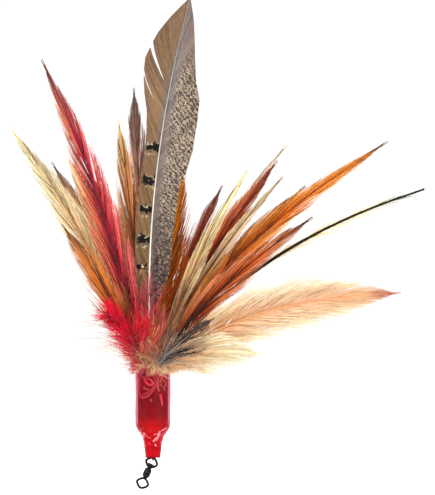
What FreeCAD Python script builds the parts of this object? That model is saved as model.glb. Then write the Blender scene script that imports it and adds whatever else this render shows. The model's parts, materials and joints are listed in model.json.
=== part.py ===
import FreeCAD, Part
import math
import os
import Sketcher

# Feather lure refill: a bundle of feathers in a shrink sleeve, with a barrel swivel hung in its neck.
# Millimetres, +Z up. The origin is on the sleeve's axis, halfway along its straight grip.
# The fan of feathers lies along XZ, and each feather leans forward (-Y) or back (+Y) of that plane.

SIZES = {
    # sleeve
    "grip_length": 20.0,
    "sleeve_wall": 1.4,
    "shoulder_drop": 3.0,
    "shoulder_radius": 1.6,
    "neck_length": 7.2,
    "neck_top_radius": 3.65,
    "neck_mouth_radius": 2.2,
    "neck_wall": 0.5,
    # quills and what holds them
    "quill_diameter": 1.0,
    "quill_gap": 0.25,
    "quill_depth": 18.0,
    "thread_diameter": 0.3,
    "thread_pitch": 0.36,
    "thread_turns": 9.0,
    "thread_play": 0.125,
    "thread_drop": 7.0,
    "glue_gap": 0.02,
    "plug_drop": 12.0,
    "plug_rise": 2.4,
    # staple and swivel
    "wire_diameter": 0.7,
    "staple_play": 0.2,
    "staple_leg": 9.0,
    "hang_gap": 0.05,
    "pivot_drop": 0.65,
    "swivel_tilt": 24.0,
    "eye_width": 4.9,
    "eye_length": 4.4,
    "wrap_thickness": 0.4,
    "shaft_gap": 0.06,
    "head_step": 0.33,
    "head_length": 0.5,
    "head_play": 0.12,
    "barrel_length": 3.4,
    "barrel_wall": 0.5,
    "barrel_land": 0.54,
    "barrel_taper": 0.7,
    "barrel_end_wall": 0.3,
    # feathers
    "tip_diameter": 0.24,
    "gather_depth": 12.0,
    "droop": 0.2,
    "droop_length": 100.0,
    "roundness": 0.8,
}

# Sizes that all feathers have in common. gather_depth, droop and droop_length shape how a sheet bends:
# the feathers run together below the mouth, and each droops by a share of its lean over droop_length.
# roundness is how full a vane is towards its two ends.
SHARED_FIELDS = (
    "quill_diameter",
    "quill_depth",
    "tip_diameter",
    "gather_depth",
    "droop",
    "droop_length",
    "roundness",
)
FEATHER_FIELDS = ("reach", "fan", "launch", "turn", "lean", "left", "right", "bare", "fullest")

# One tuple for each feather, in the order of FEATHER_FIELDS:
# reach: mouth of the sleeve to the tip. fan: that line's angle from +Z towards +X.
# launch, turn: the quill's own angle where it leaves the sleeve, and at its tip.
# lean: angle of its sheet, forward when negative. left, right: the vane each side of the quill.
# bare: quill below the vane. fullest: where the vane is widest, as a share of its length.
# The rows run from the front of the bundle to the back, each from left to right.
FEATHER_ROWS = [
    {
        "red_marabou": (33, -37, -25, -46, -33, 8.0, 8.0, 7, 0.45),
        "cream_plume": (37, 80, 52, 100, -29, 6.0, 6.0, 9, 0.45),
    },
    {
        "rust_spear": (58, -31, -26, -36, -22, 5.5, 5.5, 14, 0.40),
        "gold_fluff": (17, -14, -10, -18, -27, 5.0, 5.0, 5, 0.50),
        "slate_feather": (27, 48, 30, 58, -23, 5.0, 5.0, 9, 0.55),
        "peach_plume": (88, 71.7, 45, 88, -18, 7.0, 7.0, 16, 0.50),
    },
    {
        "red_hackle": (112.3, -19.2, -17, -26, -13, 6.5, 6.5, 16, 0.35),
        "pheasant_feather": (129.6, 5.8, -3, 15, -9, 7.0, 11.0, 22, 0.62),
        "rust_hackle": (75.4, 45.7, 30, 56, -13, 6.0, 6.0, 16, 0.40),
        "black_quill": (113.5, 56, 34, 73, -8, 1.2, 2.2, 30, 0.70),
    },
    {
        "cream_hackle": (96.7, -30.2, -22, -38, -4, 9.0, 8.0, 16, 0.50),
        "tan_spear": (86.8, -7.9, -8, -9, 0, 5.0, 5.0, 16, 0.50),
        "amber_hackle": (68.6, 9.2, 6, 12, 4, 6.0, 6.0, 16, 0.40),
        "straw_hackle": (77.4, 25.2, 16, 33, -1, 6.0, 6.0, 16, 0.40),
        "long_orange_hackle": (113.5, 45.5, 22, 58, 3, 7.0, 7.0, 18, 0.40),
    },
    {
        "tan_hackle": (80, -26, -20, -32, 8, 6.0, 6.0, 16, 0.40),
        "mauve_feather": (98.7, -4.1, -5, -3, 12, 5.0, 5.0, 16, 0.60),
        "maroon_hackle": (67.7, 20.3, 12, 26, 8.5, 6.0, 6.0, 16, 0.40),
        "fawn_hackle": (80.4, 33.6, 22, 43, 12.5, 6.0, 6.0, 16, 0.40),
        "umber_hackle": (82.8, 39.4, 26, 50, 16.5, 6.0, 6.0, 16, 0.40),
    },
    {
        "orange_hackle": (80.1, -22.4, -17, -27, 19, 6.0, 6.0, 16, 0.40),
        "back_ginger": (56, -14.5, -10, -18, 23, 7.0, 7.0, 16, 0.45),
        "auburn_hackle": (84.7, 30.5, 20, 38, 19.5, 6.0, 6.0, 16, 0.40),
        "pale_hackle": (91.6, 30.5, 21, 40, 23.5, 5.0, 5.0, 16, 0.40),
    },
    {
        "back_rust": (71.5, -17.9, -13, -22, 27, 7.0, 7.0, 16, 0.45),
        "back_brown": (82.2, 4.2, 3, 5, 31, 7.0, 7.0, 16, 0.45),
        "back_tan": (63.5, 28, 18, 34, 28, 7.0, 7.0, 16, 0.45),
    },
]

WIDEST_ROW = 7  # places across the fullest row of a close-packed round bundle
SECTIONS = 12  # cross-sections along a feather's free length
ROOT_HOLD = 0.30  # share of the reach over which a quill keeps its launch angle
TIP_HOLD = 0.40  # share of the reach over which it takes its tip's angle


def fill_sheet(sheet):
    """Writes every driving size into a cell with an alias."""
    rows = dict(SIZES)
    for feathers in FEATHER_ROWS:
        for name, values in feathers.items():
            for field, value in zip(FEATHER_FIELDS, values):
                rows[name + "_" + field] = value
    for number, (alias, value) in enumerate(rows.items(), start=1):
        sheet.set("A%d" % number, alias)
        sheet.set("B%d" % number, str(value))
        sheet.setAlias("B%d" % number, alias)


def size(sheet, text):
    """The value of an expression in the sheet's aliases, such as 'Sizes.wire_diameter / 2'."""
    return float(sheet.evalExpression(text))


def bind(item, **expressions):
    """Binds properties to expressions. Two underscores stand for the dot in a property's path."""
    for path, text in expressions.items():
        item.setExpression(path.replace("__", "."), text)


# Expressions that several pieces share
PITCH = "(Sizes.quill_diameter + Sizes.quill_gap)"
BUNDLE_RADIUS = "(%d * %s + Sizes.quill_diameter / 2)" % ((WIDEST_ROW - 1) // 2, PITCH)
BORE_RADIUS = "(%s + Sizes.thread_diameter + 2 * Sizes.thread_play)" % BUNDLE_RADIUS
GRIP_RADIUS = "(%s + Sizes.sleeve_wall)" % BORE_RADIUS
MOUTH = "(Sizes.grip_length / 2)"
SHOULDER_TOP = "(-Sizes.grip_length / 2)"
SHOULDER_FOOT = "(-Sizes.grip_length / 2 - Sizes.shoulder_drop)"
RIM = "(-Sizes.grip_length / 2 - Sizes.shoulder_drop - Sizes.neck_length)"
PIVOT = "(%s - Sizes.pivot_drop)" % RIM
WIRE_RADIUS = "(Sizes.wire_diameter / 2)"
EYE_CORNER = "Sizes.wire_diameter"  # the bend's own radius, so that its inside is as round as the wire
STAPLE_HALF = "(Sizes.wire_diameter + Sizes.staple_play)"
HEAD_RADIUS = "(%s + Sizes.head_step)" % WIRE_RADIUS
EYE_SPAN = "(Sizes.eye_length - Sizes.wire_diameter - 2 * %s)" % EYE_CORNER
BARREL_TOP = "(-%s - %s - %s)" % (EYE_SPAN, EYE_CORNER, WIRE_RADIUS)
BARREL_MIDDLE = "(%s - Sizes.barrel_length / 2)" % BARREL_TOP


def new_body(doc, label):
    body = doc.addObject("PartDesign::Body", label)
    body.Label = label
    return body


def new_sketch(body, name, role):
    """An empty sketch on one of the body's own origin planes."""
    sketch = body.newObject("Sketcher::SketchObject", name)
    plane = [item for item in body.Origin.OriginFeatures if item.Role == role][0]
    sketch.AttachmentSupport = (plane, [""])
    sketch.MapMode = "FlatFace"
    return sketch


def pin_point(sketch, geometry, point, label, across, up):
    """Dimensions one point of a sketch from its origin, by two expressions."""
    for kind, text in (("DistanceX", across), ("DistanceY", up)):
        number = sketch.addConstraint(Sketcher.Constraint(kind, -1, 1, geometry, point, size(sketch, text)))
        name = label + kind[-1]
        sketch.renameConstraint(number, name)
        sketch.setExpression("Constraints." + name, text)


def draw_outline(sketch, corners):
    """A closed outline of straight lines through corners, each a pair of expressions."""
    places = [FreeCAD.Vector(size(sketch, across), size(sketch, up), 0) for across, up in corners]
    count = len(places)
    for number in range(count):
        sketch.addGeometry(Part.LineSegment(places[number], places[(number + 1) % count]))
    for number in range(count):
        sketch.addConstraint(Sketcher.Constraint("Coincident", number, 2, (number + 1) % count, 1))
    for number, (across, up) in enumerate(corners):
        pin_point(sketch, number, 1, "corner%d" % number, across, up)


def draw_circle(sketch, across, up, radius):
    """A circle with its centre and radius bound to expressions."""
    centre = FreeCAD.Vector(size(sketch, across), size(sketch, up), 0)
    circle = sketch.addGeometry(Part.Circle(centre, FreeCAD.Vector(0, 0, 1), size(sketch, radius)))
    pin_point(sketch, circle, 3, "centre", across, up)
    number = sketch.addConstraint(Sketcher.Constraint("Radius", circle, size(sketch, radius)))
    sketch.renameConstraint(number, "radius")
    sketch.setExpression("Constraints.radius", radius)


def revolve(body, corners):
    """Turns an outline in XZ round the body's Z axis."""
    sketch = new_sketch(body, "Profile", "XZ_Plane")
    draw_outline(sketch, corners)
    turned = body.newObject("PartDesign::Revolution", "Turned")
    turned.Profile = sketch
    turned.ReferenceAxis = (sketch, ["V_Axis"])
    turned.Angle = 360
    return turned


def bore_outline(gap, top, bottom):
    """The inside of the sleeve from top down to bottom in the neck, drawn in by gap."""
    inner_top = "(Sizes.neck_top_radius - Sizes.neck_wall)"
    slope = "((%s - Sizes.neck_mouth_radius) / Sizes.neck_length)" % inner_top
    low_radius = "(Sizes.neck_mouth_radius + %s * (%s - %s))" % (slope, bottom, RIM)
    return [
        ("%s - %s" % (BORE_RADIUS, gap), top),
        ("%s - %s" % (BORE_RADIUS, gap), SHOULDER_TOP),
        ("%s - %s" % (inner_top, gap), SHOULDER_FOOT),
        ("%s - %s" % (low_radius, gap), bottom),
    ]


def outer_edges(shape, heights, least_radius):
    """Names of the round edges of a turned shape at the given heights, from a radius outwards."""
    names = []
    for number, edge in enumerate(shape.Edges, start=1):
        box = edge.BoundBox
        round_edge = box.ZLength < 1e-6 and box.XLength / 2 > least_radius - 1e-4
        if round_edge and any(abs(box.ZMin - height) < 1e-4 for height in heights):
            names.append("Edge%d" % number)
    return names


def make_sleeve(doc):
    """Shrink sleeve: a straight grip over the quills, a soft shoulder and a narrower tapered neck."""
    body = new_body(doc, "sleeve")
    mouth_outer = "(Sizes.neck_mouth_radius + Sizes.neck_wall)"
    outside = [
        (mouth_outer, RIM),
        ("Sizes.neck_top_radius", SHOULDER_FOOT),
        (GRIP_RADIUS, SHOULDER_TOP),
        (GRIP_RADIUS, MOUTH),
    ]
    turned = revolve(body, outside + bore_outline("0", MOUTH, RIM))
    doc.recompute()
    foot = size(body, SHOULDER_FOOT)
    edges = outer_edges(turned.Shape, [foot], size(body, "Sizes.neck_top_radius"))
    edges += outer_edges(turned.Shape, [size(body, SHOULDER_TOP)], size(body, GRIP_RADIUS))
    shoulder = body.newObject("PartDesign::Fillet", "Shoulder")
    shoulder.Base = (turned, edges)
    shoulder.setExpression("Radius", "Sizes.shoulder_radius")
    return body


def make_thread_binding(doc):
    """Whipping of thread round the quill bundle."""
    body = new_body(doc, "thread_binding")
    profile = new_sketch(body, "ThreadSection", "XZ_Plane")
    radius = "%s + Sizes.thread_play + Sizes.thread_diameter / 2" % BUNDLE_RADIUS
    draw_circle(profile, radius, "0", "Sizes.thread_diameter / 2")
    winding = body.newObject("PartDesign::AdditiveHelix", "Winding")
    winding.Profile = profile
    winding.ReferenceAxis = (profile, ["V_Axis"])
    winding.Mode = "pitch-turns-angle"
    bind(winding, Pitch="Sizes.thread_pitch", Turns="Sizes.thread_turns")
    bind(body, Placement__Base__z="%s - Sizes.thread_drop" % MOUTH)
    return body


def slot_place(row, column, count):
    """Expressions for where a quill stands in the bundle's packing."""
    across = "%s * %s" % (column - (count - 1) / 2, PITCH)
    depth = "%s * %s * sqrt(3) / 2" % (row - (len(FEATHER_ROWS) - 1) / 2, PITCH)
    return across, depth


def quill_slots():
    """(feather's name, across, depth) for every quill, front row first."""
    slots = []
    for row, feathers in enumerate(FEATHER_ROWS):
        for column, name in enumerate(feathers):
            across, depth = slot_place(row, column, len(feathers))
            slots.append((name, across, depth))
    return slots


def make_hole(doc, name, place, radius, height):
    """A cylinder that a hole in the plug is cut with."""
    hole = doc.addObject("Part::Cylinder", name)
    across, depth, low = place
    bind(hole, Radius=radius, Height=height)
    bind(hole, Placement__Base__x=across, Placement__Base__y=depth, Placement__Base__z=low)
    return hole


def make_glue_plug(doc):
    """Hot-melt potting in the sleeve, round the quills' roots and the staple's legs."""
    top = "(%s - Sizes.plug_drop)" % MOUTH
    bottom = "(%s + Sizes.plug_rise)" % RIM
    core = new_body(doc, "glue_core")
    revolve(core, [("0", bottom), ("0", top)] + bore_outline("Sizes.glue_gap", top, bottom))
    root = "(%s - Sizes.quill_depth - Sizes.glue_gap)" % MOUTH
    quill_hole = "Sizes.quill_diameter / 2 + Sizes.glue_gap"
    holes = []
    for name, across, depth in quill_slots():
        place = (across, depth, root)
        holes.append(make_hole(doc, "hole_" + name, place, quill_hole, "%s - %s" % (top, root)))
    leg_hole = "%s + Sizes.glue_gap" % WIRE_RADIUS
    leg_top = "(%s + Sizes.staple_leg + Sizes.glue_gap)" % RIM
    for side in (-1, 1):
        place = ("0", "%d * %s" % (side, STAPLE_HALF), RIM)
        holes.append(make_hole(doc, "hole_leg", place, leg_hole, "%s - %s" % (leg_top, RIM)))
    drill = doc.addObject("Part::MultiFuse", "plug_holes")
    drill.Shapes = holes
    plug = doc.addObject("Part::Cut", "glue_plug")
    plug.Base = core
    plug.Tool = drill
    return plug


def make_anchor_staple(doc):
    """Wire staple whose legs are set in the plug and whose bight carries the swivel's upper eye."""
    body = new_body(doc, "anchor_staple")
    bight_low = "(%s + %s - Sizes.wire_diameter - Sizes.hang_gap)" % (PIVOT, EYE_CORNER)
    bend = "(%s + %s)" % (bight_low, STAPLE_HALF)
    leg_top = "(%s + Sizes.staple_leg)" % RIM
    path = new_sketch(body, "StaplePath", "YZ_Plane")
    half, low, high = (size(body, text) for text in (STAPLE_HALF, bend, leg_top))
    left_top, left_low = FreeCAD.Vector(-half, high, 0), FreeCAD.Vector(-half, low, 0)
    right_top, right_low = FreeCAD.Vector(half, high, 0), FreeCAD.Vector(half, low, 0)
    path.addGeometry(Part.LineSegment(left_top, left_low))
    path.addGeometry(Part.Arc(left_low, FreeCAD.Vector(0, low - half, 0), right_low))
    path.addGeometry(Part.LineSegment(right_low, right_top))
    path.addConstraint(Sketcher.Constraint("Tangent", 0, 2, 1, 1))
    path.addConstraint(Sketcher.Constraint("Coincident", 1, 2, 2, 1))
    pin_point(path, 0, 1, "left_top", "-" + STAPLE_HALF, leg_top)
    pin_point(path, 0, 2, "left_bend", "-" + STAPLE_HALF, bend)
    pin_point(path, 2, 1, "right_bend", STAPLE_HALF, bend)
    pin_point(path, 2, 2, "right_top", STAPLE_HALF, leg_top)
    section = new_sketch(body, "StapleSection", "XY_Plane")
    draw_circle(section, "0", "-" + STAPLE_HALF, WIRE_RADIUS)
    section.setExpression("AttachmentOffset.Base.z", leg_top)
    wire = body.newObject("PartDesign::AdditivePipe", "StapleWire")
    wire.Profile = section
    wire.Spine = (path, [])
    return body


def tangent_points(centres, radius):
    """Ends of the straight runs that join equal arcs round the given centres, clockwise."""
    runs = []
    for number, centre in enumerate(centres):
        following = centres[(number + 1) % len(centres)]
        along = (following - centre).normalize()
        outward = FreeCAD.Vector(-along.y, along.x, 0) * radius
        runs.append((centre + outward, following + outward))
    return runs


def draw_eye_path(sketch):
    """Wire centreline of a diamond eye with rounded corners, from the middle of its top bend and back."""
    side = "(Sizes.eye_width / 2 - %s - %s)" % (WIRE_RADIUS, EYE_CORNER)
    middle_height = "-%s / 2" % EYE_SPAN
    corners = [("0", "0"), (side, middle_height), ("0", "-" + EYE_SPAN), ("-" + side, middle_height)]
    radius = size(sketch, EYE_CORNER)
    centres = [FreeCAD.Vector(size(sketch, across), size(sketch, up), 0) for across, up in corners]
    runs = tangent_points(centres, radius)
    apex = FreeCAD.Vector(0, radius, 0)
    arcs = []
    ends = [(apex, runs[0][0])]
    ends += [(runs[number][1], runs[number + 1][0]) for number in range(3)]
    ends += [(runs[3][1], apex)]
    for number, (start, end) in enumerate(ends):
        centre = centres[number % 4]
        middle = centre + ((start + end) * 0.5 - centre).normalize() * radius
        arcs.append(sketch.addGeometry(Part.Arc(start, middle, end)))
        if number < 4:
            sketch.addGeometry(Part.LineSegment(*runs[number]))
    for number in range(4):
        line = arcs[number] + 1
        # an arc drawn clockwise is stored the other way round, so its first point is its end
        sketch.addConstraint(Sketcher.Constraint("Tangent", arcs[number], 1, line, 1))
        sketch.addConstraint(Sketcher.Constraint("Tangent", line, 2, arcs[number + 1], 2))
    sketch.addConstraint(Sketcher.Constraint("PointOnObject", arcs[0], 2, -2))
    sketch.addConstraint(Sketcher.Constraint("PointOnObject", arcs[4], 1, -2))
    for number, arc in enumerate(arcs):
        pin_point(sketch, arc, 3, "centre%d" % number, *corners[number % 4])
        if number:
            sketch.addConstraint(Sketcher.Constraint("Equal", arcs[0], arc))
    number = sketch.addConstraint(Sketcher.Constraint("Radius", arcs[0], radius))
    sketch.renameConstraint(number, "corner_radius")
    sketch.setExpression("Constraints.corner_radius", EYE_CORNER)


def make_swivel_eye(doc, label):
    """Wire eye, wrapped at its foot, with a shank and a head that turn inside the barrel.

    Its own origin is the centre of the bend at the top of the eye, and its shank points down.
    """
    body = new_body(doc, label)
    path = new_sketch(body, "EyePath", "XZ_Plane")
    draw_eye_path(path)
    section = new_sketch(body, "WireSection", "YZ_Plane")
    draw_circle(section, "0", EYE_CORNER, WIRE_RADIUS)
    loop = body.newObject("PartDesign::AdditivePipe", "EyeWire")
    loop.Profile = section
    loop.Spine = (path, [])
    loop.Transition = "Transformed"
    doc.recompute()
    wrap_radius = "(%s + Sizes.wrap_thickness)" % WIRE_RADIUS
    wrap_top = "(%s + %s)" % (BARREL_TOP, WIRE_RADIUS)
    wrap_low = "(%s + Sizes.shaft_gap)" % BARREL_TOP
    head_top = "(%s - Sizes.barrel_end_wall - Sizes.shaft_gap)" % BARREL_TOP
    head_low = "(%s - Sizes.head_length)" % head_top
    revolve(
        body,
        [
            ("0", wrap_top),
            (wrap_radius, wrap_top),
            (wrap_radius, wrap_low),
            (WIRE_RADIUS, wrap_low),
            (WIRE_RADIUS, head_top),
            (HEAD_RADIUS, head_top),
            (HEAD_RADIUS, head_low),
            ("0", head_low),
        ],
    )
    return body


def make_swivel_barrel(doc):
    """Hollow barrel with a hole in each end for a shank. It is made about the upper eye's own origin."""
    body = new_body(doc, "swivel_barrel")
    hole = "(%s + Sizes.shaft_gap)" % WIRE_RADIUS
    cavity = "(%s + Sizes.head_play)" % HEAD_RADIUS
    belly = "(%s + Sizes.barrel_wall)" % cavity
    end = "(%s + Sizes.barrel_land)" % hole
    bottom = "(%s - Sizes.barrel_length)" % BARREL_TOP
    revolve(
        body,
        [
            (hole, BARREL_TOP),
            (end, BARREL_TOP),
            (belly, "%s - Sizes.barrel_taper" % BARREL_TOP),
            (belly, "%s + Sizes.barrel_taper" % bottom),
            (end, bottom),
            (hole, bottom),
            (hole, "%s + Sizes.barrel_end_wall" % bottom),
            (cavity, "%s + Sizes.barrel_end_wall" % bottom),
            (cavity, "%s - Sizes.barrel_end_wall" % BARREL_TOP),
            (hole, "%s - Sizes.barrel_end_wall" % BARREL_TOP),
        ],
    )
    return body


def hang(piece, distance, turned):
    """Places a swivel piece at a distance down the tilted swivel axis from the pivot in the neck."""
    piece.Placement.Rotation = FreeCAD.Rotation(FreeCAD.Vector(0, 1, 0), 1)
    bind(
        piece,
        Placement__Base__x="-(%s) * sin(Sizes.swivel_tilt * 1 deg)" % distance,
        Placement__Base__z="%s - (%s) * cos(Sizes.swivel_tilt * 1 deg)" % (PIVOT, distance),
        Placement__Rotation__Angle="(Sizes.swivel_tilt + %d) * 1 deg" % turned,
    )


def make_swivel(doc):
    """Upper eye, barrel and lower eye, hung in line."""
    upper = make_swivel_eye(doc, "swivel_upper_eye")
    barrel = make_swivel_barrel(doc)
    lower = make_swivel_eye(doc, "swivel_lower_eye")
    hang(upper, "0", 0)
    hang(barrel, "0", 0)
    hang(lower, "-2 * %s" % BARREL_MIDDLE, 180)
    return [upper, barrel, lower]


def heading(degrees):
    """Unit vector in XZ at an angle from +Z towards +X."""
    turn = math.radians(degrees)
    return FreeCAD.Vector(math.sin(turn), 0, math.cos(turn))


def feather_spine(spec, start):
    """Points and directions in XZ along the quill, from the sleeve's mouth to the tip."""
    tip = FreeCAD.Vector(0, 0, start.z) + heading(spec["fan"]) * spec["reach"]
    root_hold = start + heading(spec["launch"]) * (ROOT_HOLD * spec["reach"])
    tip_hold = tip - heading(spec["turn"]) * (TIP_HOLD * spec["reach"])
    curve = Part.BezierCurve()
    curve.setPoles([start, root_hold, tip_hold, tip])
    spine = []
    for number in range(1, SECTIONS + 1):
        share = number / SECTIONS
        spine.append((share, curve.value(share), curve.tangent(share)[0]))
    return spine


def sheet_depth(spec, point, start, gather):
    """How far forward or back a feather's sheet is at a point of the fan, measured from its root."""
    out = math.hypot(point.x, point.z - start.z + gather) - gather
    return math.tan(math.radians(spec["lean"])) * out * (1 + spec["droop"] * out / spec["droop_length"])


def vane_share(place, fullest, roundness):
    """Vane width at a place from 0 to 1 along the vane, as a share of its widest."""
    if place <= 0 or place >= 1:
        return 0.0
    power = math.log(0.5) / math.log(fullest)
    return math.sin(math.pi * place**power) ** roundness


def lens_wire(left, front, right, back):
    """A cross-section of two arcs that meet at the vane's edges, or of a round quill."""
    arcs = [Part.Arc(left, front, right).toShape(), Part.Arc(right, back, left).toShape()]
    return Part.Wire(arcs)


def feather_sections(spec, slot):
    """Cross-sections of one feather, from its root in the plug to its tip."""
    radius = spec["quill_diameter"] / 2
    tip_radius = spec["tip_diameter"] / 2
    start = FreeCAD.Vector(slot[0], 0, spec["mouth"])
    bare = spec["bare"] / spec["reach"]
    wires = []
    for level in (spec["mouth"] - spec["quill_depth"], spec["mouth"]):
        centre = FreeCAD.Vector(slot[0], slot[1], level)
        across = FreeCAD.Vector(radius, 0, 0)
        deep = FreeCAD.Vector(0, radius, 0)
        wires.append(lens_wire(centre - across, centre - deep, centre + across, centre + deep))
    for share, point, along in feather_spine(spec, start):
        half = radius + (tip_radius - radius) * share
        width = vane_share((share - bare) / (1 - bare), spec["fullest"], spec["roundness"])
        side = FreeCAD.Vector(along.z, 0, -along.x)
        left = point - side * (half + max(0, spec["left"] - half) * width)
        right = point + side * (half + max(0, spec["right"] - half) * width)
        deep = FreeCAD.Vector(0, half, 0)
        places = [left, point - deep, right, point + deep]
        for place in places:
            flat = FreeCAD.Vector(place.x, 0, place.z)
            place.y += slot[1] + sheet_depth(spec, flat, start, spec["gather_depth"])
        wires.append(lens_wire(*places))
    return wires


def make_feather(doc, sheet, name, across, depth):
    """One feather: a round quill that flattens into a thin vane with its quill along the middle."""
    spec = {field: size(sheet, "Sizes.%s_%s" % (name, field)) for field in FEATHER_FIELDS}
    for shared in SHARED_FIELDS:
        spec[shared] = size(sheet, "Sizes." + shared)
    spec["mouth"] = size(sheet, MOUTH)
    slot = (size(sheet, across), size(sheet, depth))
    feather = doc.addObject("Part::Feature", name)
    feather.Shape = Part.makeLoft(feather_sections(spec, slot), True, True)
    return feather


def make_feathers(doc, sheet):
    return [make_feather(doc, sheet, name, across, depth) for name, across, depth in quill_slots()]


def check(doc, pieces):
    """Stops if any object failed or any piece isn't a closed valid solid."""
    for item in doc.Objects:
        if "Invalid" in item.State or "Error" in item.State:
            raise RuntimeError("%s failed: %s" % (item.Name, item.State))
    for piece in pieces:
        shape = piece.Shape
        if shape.isNull() or not shape.isValid() or not shape.Solids:
            raise RuntimeError("%s has no valid solid" % piece.Label)


def main():
    os.makedirs("parts", exist_ok=True)
    doc = FreeCAD.newDocument("FeatherRefill")
    sheet = doc.addObject("Spreadsheet::Sheet", "Sizes")
    fill_sheet(sheet)
    doc.recompute()
    pieces = [make_sleeve(doc), make_thread_binding(doc), make_glue_plug(doc), make_anchor_staple(doc)]
    pieces += make_swivel(doc)
    pieces += make_feathers(doc, sheet)
    doc.recompute()
    check(doc, pieces)
    for piece in pieces:
        piece.Shape.exportStep("parts/%s.step" % piece.Label)
        print(piece.Label, round(piece.Shape.Volume, 2), "mm3")


main()
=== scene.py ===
import json
import math
import bpy
import numpy as np
from mathutils import Matrix, Vector


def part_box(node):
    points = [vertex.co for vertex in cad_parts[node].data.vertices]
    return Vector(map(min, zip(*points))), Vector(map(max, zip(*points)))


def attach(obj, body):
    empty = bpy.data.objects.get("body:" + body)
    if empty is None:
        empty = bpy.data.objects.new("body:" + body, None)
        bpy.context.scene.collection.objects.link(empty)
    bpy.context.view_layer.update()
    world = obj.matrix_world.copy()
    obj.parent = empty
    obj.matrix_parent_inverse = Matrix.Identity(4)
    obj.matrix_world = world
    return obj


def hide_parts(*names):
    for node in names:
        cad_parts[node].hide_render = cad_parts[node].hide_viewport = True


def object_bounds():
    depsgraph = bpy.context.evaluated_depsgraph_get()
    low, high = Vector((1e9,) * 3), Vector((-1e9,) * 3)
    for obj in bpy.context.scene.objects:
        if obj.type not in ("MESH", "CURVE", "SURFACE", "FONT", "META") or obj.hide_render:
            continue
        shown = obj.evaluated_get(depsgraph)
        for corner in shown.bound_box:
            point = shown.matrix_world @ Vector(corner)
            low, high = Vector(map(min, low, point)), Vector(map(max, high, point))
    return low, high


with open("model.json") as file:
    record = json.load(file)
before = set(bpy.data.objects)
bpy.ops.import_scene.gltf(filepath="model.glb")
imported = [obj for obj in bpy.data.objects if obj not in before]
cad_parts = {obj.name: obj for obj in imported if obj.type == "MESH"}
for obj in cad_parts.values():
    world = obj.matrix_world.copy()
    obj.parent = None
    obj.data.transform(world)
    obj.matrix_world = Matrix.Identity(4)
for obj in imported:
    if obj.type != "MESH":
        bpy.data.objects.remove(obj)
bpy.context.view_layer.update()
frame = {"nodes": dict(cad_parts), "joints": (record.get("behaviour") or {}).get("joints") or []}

# A feather lure refill: feathers in a red shrink sleeve, with a barrel swivel below.
# Metres, +Z up, the feathers fan out along XZ.

mm = 0.001
nodes = frame["nodes"]
bpy.ops.object.select_all(action="DESELECT")
draw = np.random.default_rng(41)


# lamps: place, size in metres and power in watts
studio = {
    "distance": 1.6,  # camera to the sleeve's axis
    "middle": (22.6 * mm, 53.4 * mm),  # x and z that the camera looks at
    "tallView": 173.25 * mm,  # height that fits the frame
    "farthest": 50,
    "floorGap": 2 * mm,
    "floorReach": 30.0,
    "floorSides": 96,
    "sky": 1.06,
    "lampAim": (0.02, 0, 0.05),
    "lamps": {
        "keyLamp": ((-0.5, -1.1, 1.0), 0.9, 14),
        "fillLamp": ((0.9, -0.9, 0.4), 0.9, 6),
        "backLamp": ((0.2, 1.2, 0.8), 0.9, 8),
    },
}


def setNode(tree, node, settings=None, links=None):
    # settings: a name or number of an input, or a property of the node
    # links: input -> output socket, or a node whose first output is meant
    for name, value in (settings or {}).items():
        if isinstance(name, int) or name in node.inputs:
            node.inputs[name].default_value = value
        else:
            setattr(node, name, value)
    for name, source in (links or {}).items():
        socket = source.outputs[0] if isinstance(source, bpy.types.Node) else source
        tree.links.new(socket, node.inputs[name])
    return node


def addNode(tree, kind, settings=None, links=None):
    return setNode(tree, tree.nodes.new("ShaderNode" + kind), settings, links)


def colour(text):
    # sRGB hex to linear RGBA
    parts = [int(text[i:i + 2], 16) / 255 for i in (1, 3, 5)]
    return [p / 12.92 if p <= 0.04045 else ((p + 0.055) / 1.055) ** 2.4 for p in parts] + [1.0]


def setRamp(node, stops):
    ramp = node.color_ramp
    while len(ramp.elements) < len(stops):
        ramp.elements.new(0.5)
    for element, (place, shade) in zip(ramp.elements, stops):
        element.position = place
        element.color = colour(shade)
    return node


def newMaterial(name):
    material = bpy.data.materials.new(name)
    material.use_nodes = True
    tree = material.node_tree
    return material, tree, tree.nodes["Principled BSDF"]


def makeStudio():
    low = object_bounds()[0].z - studio["floorGap"]
    bpy.ops.mesh.primitive_circle_add(
        vertices=studio["floorSides"], radius=studio["floorReach"], fill_type="NGON", location=(0, 0, low)
    )
    floor = bpy.context.active_object
    floor.name = "paleFloor"
    floor.data.materials.append(paleMaterial())
    floor.select_set(False)

    world = bpy.data.worlds.new("studioWorld")
    bpy.context.scene.world = world
    world.use_nodes = True
    sky = world.node_tree.nodes["Background"]
    setNode(world.node_tree, sky, {"Color": (1, 1, 1, 1), "Strength": studio["sky"]})
    for name, (place, size, power) in studio["lamps"].items():
        bpy.ops.object.light_add(type="AREA", location=place)
        lamp = bpy.context.active_object
        lamp.name = name
        lamp.data.size = size
        lamp.data.energy = power
        aim = Vector(studio["lampAim"]) - Vector(place)
        lamp.rotation_euler = aim.to_track_quat("-Z", "Y").to_euler()
        lamp.select_set(False)

    x, z = studio["middle"]
    bpy.ops.object.camera_add(location=(x, -studio["distance"], z), rotation=(math.pi / 2, 0, 0))
    camera = bpy.context.active_object
    camera.data.lens = camera.data.sensor_width * studio["distance"] / studio["tallView"]
    camera.data.clip_end = studio["farthest"]
    camera.select_set(False)
    bpy.context.scene.camera = camera
    bpy.context.scene.view_settings.view_transform = "Standard"
    print("studio made")


def paleMaterial():
    # matt studio paper: near white, with no gloss
    material, tree, shader = newMaterial("matt studio paper")
    setNode(tree, shader, {"Base Color": colour("#fdfdfc"), "Roughness": 0.9, "Specular IOR Level": 0.1})
    return material


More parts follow.
